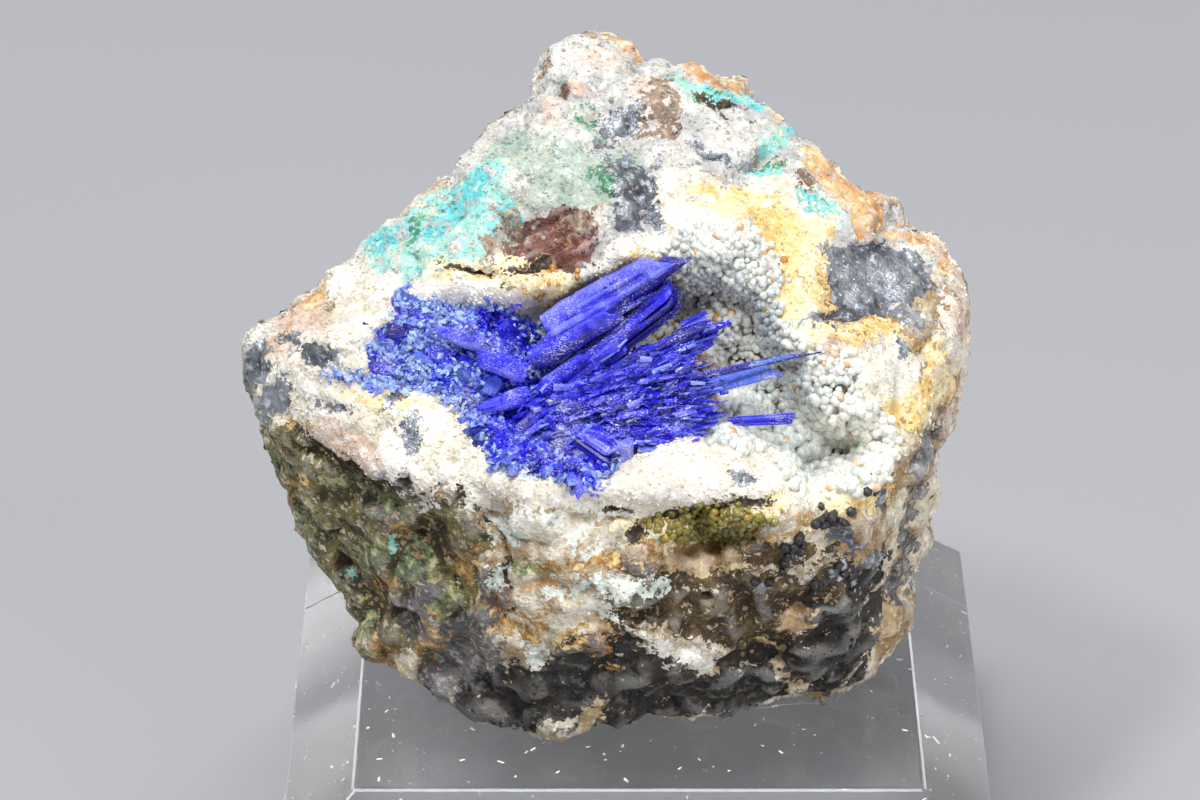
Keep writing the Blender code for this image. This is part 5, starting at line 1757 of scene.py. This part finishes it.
class Grains:
    """The pale crystals: round ones in the vug, greenish ones in the low slot and fine sugar."""

    VUG = (
        (1.5, 29.0, 2.6, 2.6), (4.6, 29.6, 2.8, 2.4, -20), (6.4, 27.4, 2.2, 2.2),
        (5.4, 24.6, 2.4, 2.2), (8.6, 24.9, 3.0, 2.4, -10), (11.0, 22.6, 2.4, 2.4, 30),
        (4.2, 32.8, 2.6, 1.4), (9.4, 21.6, 2.2, 1.4), (6.2, 31.2, 1.6, 1.2),
        (9.8, 26.8, 1.8, 1.0), (2.0, 25.4, 3.0, 2.0),
    )
    SLOT = ((3.6, 18.6, 3.0, 0.9),)
    AMBER = (
        (-5.2, 29.5), (-1.7, 31.3), (-4.6, 31.7), (-3.2, 31.8), (-0.2, 28.7), (-1.5, 27.6), (1.6, 29.1),
        (2.2, 29.3), (4.4, 29.5), (5.4, 29.4), (3.3, 28.0), (4.5, 28.1), (3.1, 27.2), (3.5, 25.1),
        (3.9, 24.3), (4.0, 23.5), (8.7, 26.3), (10.2, 27.1), (10.0, 22.6), (6.0, 31.0), (7.4, 29.0),
        (7.0, 32.0),
    )
    BEADS = (
        (9.6, 18.8, 0.5, 0.5), (10.4, 18.6, 0.5, 0.5), (8.2, 17.5, 0.5, 0.5), (8.9, 16.2, 0.6, 0.4),
        (10.5, 16.2, 0.6, 0.5), (6.6, 15.7, 0.4, 0.4), (10.0, 17.5, 0.4, 0.4),
        (11.1, 19.1, 0.4, 0.4), (9.4, 15.4, 0.5, 0.3), (10.9, 15.2, 0.4, 0.4),
        (12.0, 20.6, 0.4, 0.6), (7.4, 16.6, 0.3, 0.3),
    )
    PEA = ((0.75, -0.95), (1.0, -0.7), (1.06, 0.0), (1.0, 0.6), (0.8, 0.85), (0.45, 0.97))
    CHIP = ((1.25, -0.6), (0.7, 0.9))
    BIGGER_BELOW, PALER_BEYOND, FADE = 27.0, 7.0, 3.0
    CLUSTERS = (
        Cluster("vug_grains", VUG, 2700, (0.15, 0.29), GrainFinish(
            "pale_grains", paint(240, 238, 226), paint(178, 190, 192), paint(216, 150, 56), 0.3
        ), "vug_crust"),
        # The slot grains' colours are darker, partly painted shade of the recess they sit in.
        Cluster("slot_grains", SLOT, 260, (0.08, 0.2), GrainFinish(
            "slot_grains", paint(160, 148, 68), paint(76, 68, 22), paint(190, 150, 60), 0.3, 0.2
        ), "slot_crust"),
        Cluster("dark_beads", BEADS, 44, (0.12, 0.25), GrainFinish(
            "dark_beads", paint(54, 52, 52), paint(28, 27, 27), paint(96, 74, 50), 0.4
        )),
        Cluster("amber_grains", tuple((x, up, 0.32, 0.32) for x, up in AMBER), 70, (0.12, 0.24), GrainFinish(
            "amber_grains", paint(228, 172, 78), paint(176, 112, 40), paint(150, 86, 30), 0.25, 0.2
        )),
    )

    def __init__(self, sizes: GrainSizes) -> None:
        """Keep the sizes and the source of chance."""
        self.sizes = sizes
        self.dice = np.random.default_rng(sizes.seed)

    @staticmethod
    def wanted(surface: Surface, ovals: Ovals) -> np.ndarray:
        """How much each point of a surface is inside some ovals.

        Args:
            surface: the surface.
            ovals: the values of each oval.

        Returns:
            From 0 to 1 for each point.
        """
        depth = Patch.depth(ovals, FaceFrame.sighted(surface.points))
        return eased(depth * 1.6 + 0.4) * (FaceFrame.facing(surface.points, surface.normals) > 0.5)

    def cluster(self, surface: Surface, cluster: Cluster) -> bpy.types.Object:
        """Make a cluster of rounded crystals.

        Args:
            surface: what they grow on.
            cluster: the cluster.

        Returns:
            Its object.
        """
        dice, count = self.dice, cluster.count
        places, normals, _ = surface.scattered(count, self.wanted(surface, cluster.ovals), dice)
        spots = FaceFrame.sighted(places)
        low = eased((self.BIGGER_BELOW - spots[:, 1]) / self.FADE)
        radius = dice.uniform(*cluster.radius, count) * (0.9 + 0.35 * low)
        lean = unit(normals + dice.normal(0.0, 0.5, normals.shape))
        flat, long = dice.uniform(0.8, 1.0, count), dice.uniform(1.0, 1.7, count)
        sizes = np.stack([radius, radius * flat, radius * long], axis=1)
        swarm = Swarm(Form.spindle(6, self.PEA))
        tones = np.clip(0.55 + Noise.smooth(places, 2.4, 15) * 0.5 + dice.normal(0.0, 0.16, count), 0.0, 1.0)
        tones = tones + 0.3 * eased((spots[:, 0] - self.PALER_BEYOND) / self.FADE)
        warmth = (dice.random(count) < 0.03) * dice.uniform(0.4, 0.9, count)
        swarm.add(places, lean, sizes, dice.uniform(0, FULL_TURN, count), tone=tones, warmth=warmth)
        thing = swarm.shape().made(cluster.name, cluster.finish.material(), True)
        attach(thing, "root")
        if cluster.node:
            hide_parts(cluster.node)
        return thing

    def chips(
        self, stone: Stone, name: str, chance: np.ndarray, count: int, size: tuple[float, float]
    ) -> bpy.types.Object:
        """Fine angular grains that have the stone's own colour where they lie.

        Args:
            stone: the stone they lie on.
            name: the object's name.
            chance: how wanted they are at each point of the stone.
            count: how many there are.
            size: their smallest and largest half width.

        Returns:
            Their object.
        """
        dice = self.dice
        places, normals, found = stone.surface.scattered(count, chance, dice, stone.amounts)
        lean = unit(normals + dice.normal(0.0, 0.45, normals.shape))
        wide = size[0] + (size[1] - size[0]) * dice.random(count) ** 3.0
        flat = wide * dice.uniform(0.5, 1.0, count)
        long = wide * dice.uniform(0.7, 1.5, count)
        swarm = Swarm(Form.spindle(4, self.CHIP))
        values = {key: kept for key, kept in found.items() if key != "front"}
        values["tone"] = np.clip(dice.normal(0.5, 0.16, count), 0.0, 1.0)
        values["hollow"] = np.full(count, -0.02)
        places = places - normals * (long * 0.35)[:, None]
        sizes = np.stack([wide, flat, long], axis=1)
        swarm.add(places, lean, sizes, dice.uniform(0, FULL_TURN, count), **values)
        thing = swarm.shape().made(name, stone.finish, False)
        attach(thing, "root")
        return thing

    def sugar(self, stone: Stone) -> list[bpy.types.Object]:
        """Fine grains on the bright face and rubble on the sides.

        Args:
            stone: the stone they lie on.

        Returns:
            Their objects.
        """
        amounts = stone.amounts
        pale = np.maximum.reduce([amounts[key] for key in (*PALE, "quartz")])
        pale = pale - eased(amounts["rust"] * 4.0 + 0.5)
        bright = eased(pale * 3.0 + 0.4) * (1.0 - 0.8 * eased(amounts["galena"] * 4.0 + 0.5))
        facing = FaceFrame.facing(stone.surface.points, stone.surface.normals) > 0.6
        other = (1.02 - bright * facing) * (1.0 - 0.95 * eased(amounts["galena"] * 4.0 + 0.5))
        sizes = self.sizes
        return [
            self.chips(stone, "sugar_crystals", bright * facing + 0.001, sizes.sugar, sizes.sugar_width),
            self.chips(stone, "rubble", other, sizes.rubble, sizes.rubble_width),
        ]

    def build(self, stone: Stone) -> list[bpy.types.Object]:
        """Build and dress all pale crystals.

        Args:
            stone: the stone they grow on.

        Returns:
            Their objects.
        """
        clusters = [self.cluster(stone.surface, cluster) for cluster in self.CLUSTERS]
        return clusters + self.sugar(stone)


@dataclass(frozen=True)
class StandSizes:
    """The rounding of the block's edges and what lies on it, in millimetres."""

    rounding: float = 0.18
    rounding_steps: int = 2
    rounding_shape: float = 0.6
    specks: int = 1100
    speck: tuple[float, float] = (0.02, 0.09)
    fibres: int = 9
    fibre_links: tuple[int, int] = (8, 22)
    fibre_link: tuple[float, float, float] = (0.012, 0.012, 0.13)
    fibre_step: float = 0.22
    seed: int = 5


class Stand:
    """The clear block under the stone, with a little dust on it."""

    def __init__(self, sizes: StandSizes) -> None:
        """Keep the sizes and the source of chance."""
        self.sizes = sizes
        self.dice = np.random.default_rng(sizes.seed)

    def dust(self, block: Surface) -> bpy.types.Object:
        """Specks and short fibres on the block.

        Args:
            block: the block's surface.

        Returns:
            Their object.
        """
        dice, sizes = self.dice, self.sizes
        wanted = np.where(block.points[:, 2] > 1.0, 1.0, 0.05)
        places, normals, _ = block.scattered(sizes.specks, wanted, dice)
        size = sizes.speck[0] + (sizes.speck[1] - sizes.speck[0]) * dice.random(sizes.specks) ** 3.0
        long = size * dice.uniform(1.0, 3.0, sizes.specks)
        swarm = Swarm(Form.spindle(4, ((1.0, -1.0), (1.0, 1.0))))
        across = unit(np.cross(normals, dice.normal(0.0, 1.0, normals.shape)))
        swarm.add(places, across, np.stack([size, size * 0.6, long], axis=1), np.zeros(sizes.specks))
        starts, tops, _ = block.scattered(sizes.fibres, wanted, dice)
        for start, top in zip(starts, tops):
            way = unit(np.cross(top, dice.normal(0.0, 1.0, 3)))
            bend = dice.uniform(-0.25, 0.25)
            for _ in range(int(dice.integers(*sizes.fibre_links))):
                swarm.add(start[None], way[None], np.array([sizes.fibre_link]), np.zeros(1))
                start = start + way * sizes.fibre_step
                way = unit(way + np.cross(top, way) * (bend + dice.normal(0.0, 0.12)))
        graph = Graph("dust")
        finish = graph.surface(Base_Color=paint(236, 232, 222), Roughness=0.7)
        thing = swarm.shape().made("stand_dust", finish, False)
        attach(thing, "root")
        return thing

    def build(self) -> list[bpy.types.Object]:
        """Build and dress the block.

        Returns:
            The objects of the block and its dust.
        """
        block = bmesh.new()
        block.from_mesh(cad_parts["display_stand"].data)
        bmesh.ops.remove_doubles(block, verts=block.verts, dist=0.00001)
        bmesh.ops.dissolve_limit(block, angle_limit=0.02, verts=block.verts, edges=block.edges)
        sizes = self.sizes
        bmesh.ops.bevel(
            block,
            geom=block.edges,
            offset=sizes.rounding * MM,
            segments=sizes.rounding_steps,
            affect="EDGES",
            profile=sizes.rounding_shape,
        )
        bmesh.ops.triangulate(block, faces=block.faces)
        points = np.array([vertex.co for vertex in block.verts]) / MM
        faces = np.array([[corner.index for corner in face.verts] for face in block.faces])
        block.free()
        thing = Shape(points, faces).made("stand_block", AcrylicFinish().material(), False)
        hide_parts("display_stand")
        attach(thing, "root")
        return [thing, self.dust(Surface(points, Stone.normals(points, faces), faces))]


# The studio round the specimen.


@dataclass(frozen=True)
class Lamp:
    """A soft lamp: its place, what it points at, its size in metres and its power in watts."""

    name: str
    place: tuple[float, float, float]
    size: float
    power: float
    colour: tuple[float, float, float] = (1.0, 1.0, 1.0)
    target: tuple[float, float, float] = (0.0, 0.0, 0.025)

    def build(self) -> bpy.types.Object:
        """Make the lamp.

        Returns:
            Its object.
        """
        light = bpy.data.lights.new(self.name, "AREA")
        light.size = self.size
        light.energy = self.power
        light.color = self.colour
        thing = bpy.data.objects.new(self.name, light)
        thing.location = self.place
        way = np.array(self.target) - np.array(self.place)
        yaw = math.atan2(way[0], -way[1])
        thing.rotation_euler = (math.atan2(math.hypot(way[0], way[1]), -way[2]), 0.0, math.pi + yaw)
        bpy.context.scene.collection.objects.link(thing)
        return thing


class Studio:
    """Floor, light and camera."""

    LAMPS = (
        Lamp("key", (-0.06, -0.10, 0.50), 0.24, 1.95),
        Lamp("glint", (-0.16, -0.22, 0.42), 0.05, 0.7),
        Lamp("fill", (0.32, -0.34, 0.16), 0.30, 1.05),
        Lamp("left_window", (-0.28, 0.54, 0.10), 0.30, 0.9),
        Lamp("right_window", (0.28, 0.54, 0.10), 0.30, 0.9),
    )
    FLOOR_REACH = 2.0
    FLOOR_HEIGHT = -0.0001
    SKY_COLOUR = (0.92, 0.95, 1.0, 1.0)
    SKY_STRENGTH = 0.32
    CAMERA_PLACE = (-0.00205, -0.2645, 0.1599)
    CAMERA_TILT = 63.5
    CAMERA_LENS, CAMERA_SENSOR = 165.0, 36.0
    CAMERA_NEAR = 0.01

    def build(self) -> None:
        """Set the studio up."""
        for lamp in self.LAMPS:
            lamp.build()
        self.floor()
        self.sky()
        self.camera()
        bpy.context.scene.view_settings.view_transform = "Standard"

    def floor(self) -> None:
        """A plain pale floor."""
        mesh = bpy.data.meshes.new("floor")
        reach, low = self.FLOOR_REACH, self.FLOOR_HEIGHT
        corners = [(-reach, -reach, low), (reach, -reach, low), (reach, reach, low), (-reach, reach, low)]
        mesh.from_pydata(corners, [], [(0, 1, 2, 3)])
        thing = bpy.data.objects.new("floor", mesh)
        bpy.context.scene.collection.objects.link(thing)
        graph = Graph("floor")
        mesh.materials.append(graph.surface(Base_Color=paint(168, 168, 172), Roughness=0.8))

    def sky(self) -> None:
        """Even light from all round."""
        world = bpy.data.worlds.new("room")
        world.use_nodes = True
        behind = world.node_tree.nodes["Background"]
        behind.inputs["Color"].default_value = self.SKY_COLOUR
        behind.inputs["Strength"].default_value = self.SKY_STRENGTH
        bpy.context.scene.world = world

    def camera(self) -> None:
        """The viewer's camera."""
        lens = bpy.data.cameras.new("camera")
        lens.lens = self.CAMERA_LENS
        lens.sensor_width = self.CAMERA_SENSOR
        lens.clip_start = self.CAMERA_NEAR
        thing = bpy.data.objects.new("camera", lens)
        thing.location = self.CAMERA_PLACE
        thing.rotation_euler = (math.radians(self.CAMERA_TILT), 0.0, 0.0)
        bpy.context.scene.collection.objects.link(thing)
        bpy.context.scene.camera = thing


def main() -> None:
    """Build every piece in order."""
    logging.basicConfig(level=logging.INFO, format="%(name)s: %(message)s")
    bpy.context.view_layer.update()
    Stand(StandSizes()).build()
    stone = Stone(StoneSizes())
    stone.build()
    Linarite(LinariteSizes()).build(stone)
    Grains(GrainSizes()).build(stone)
    Studio().build()
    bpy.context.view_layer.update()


if __name__ == "__main__":
    main()
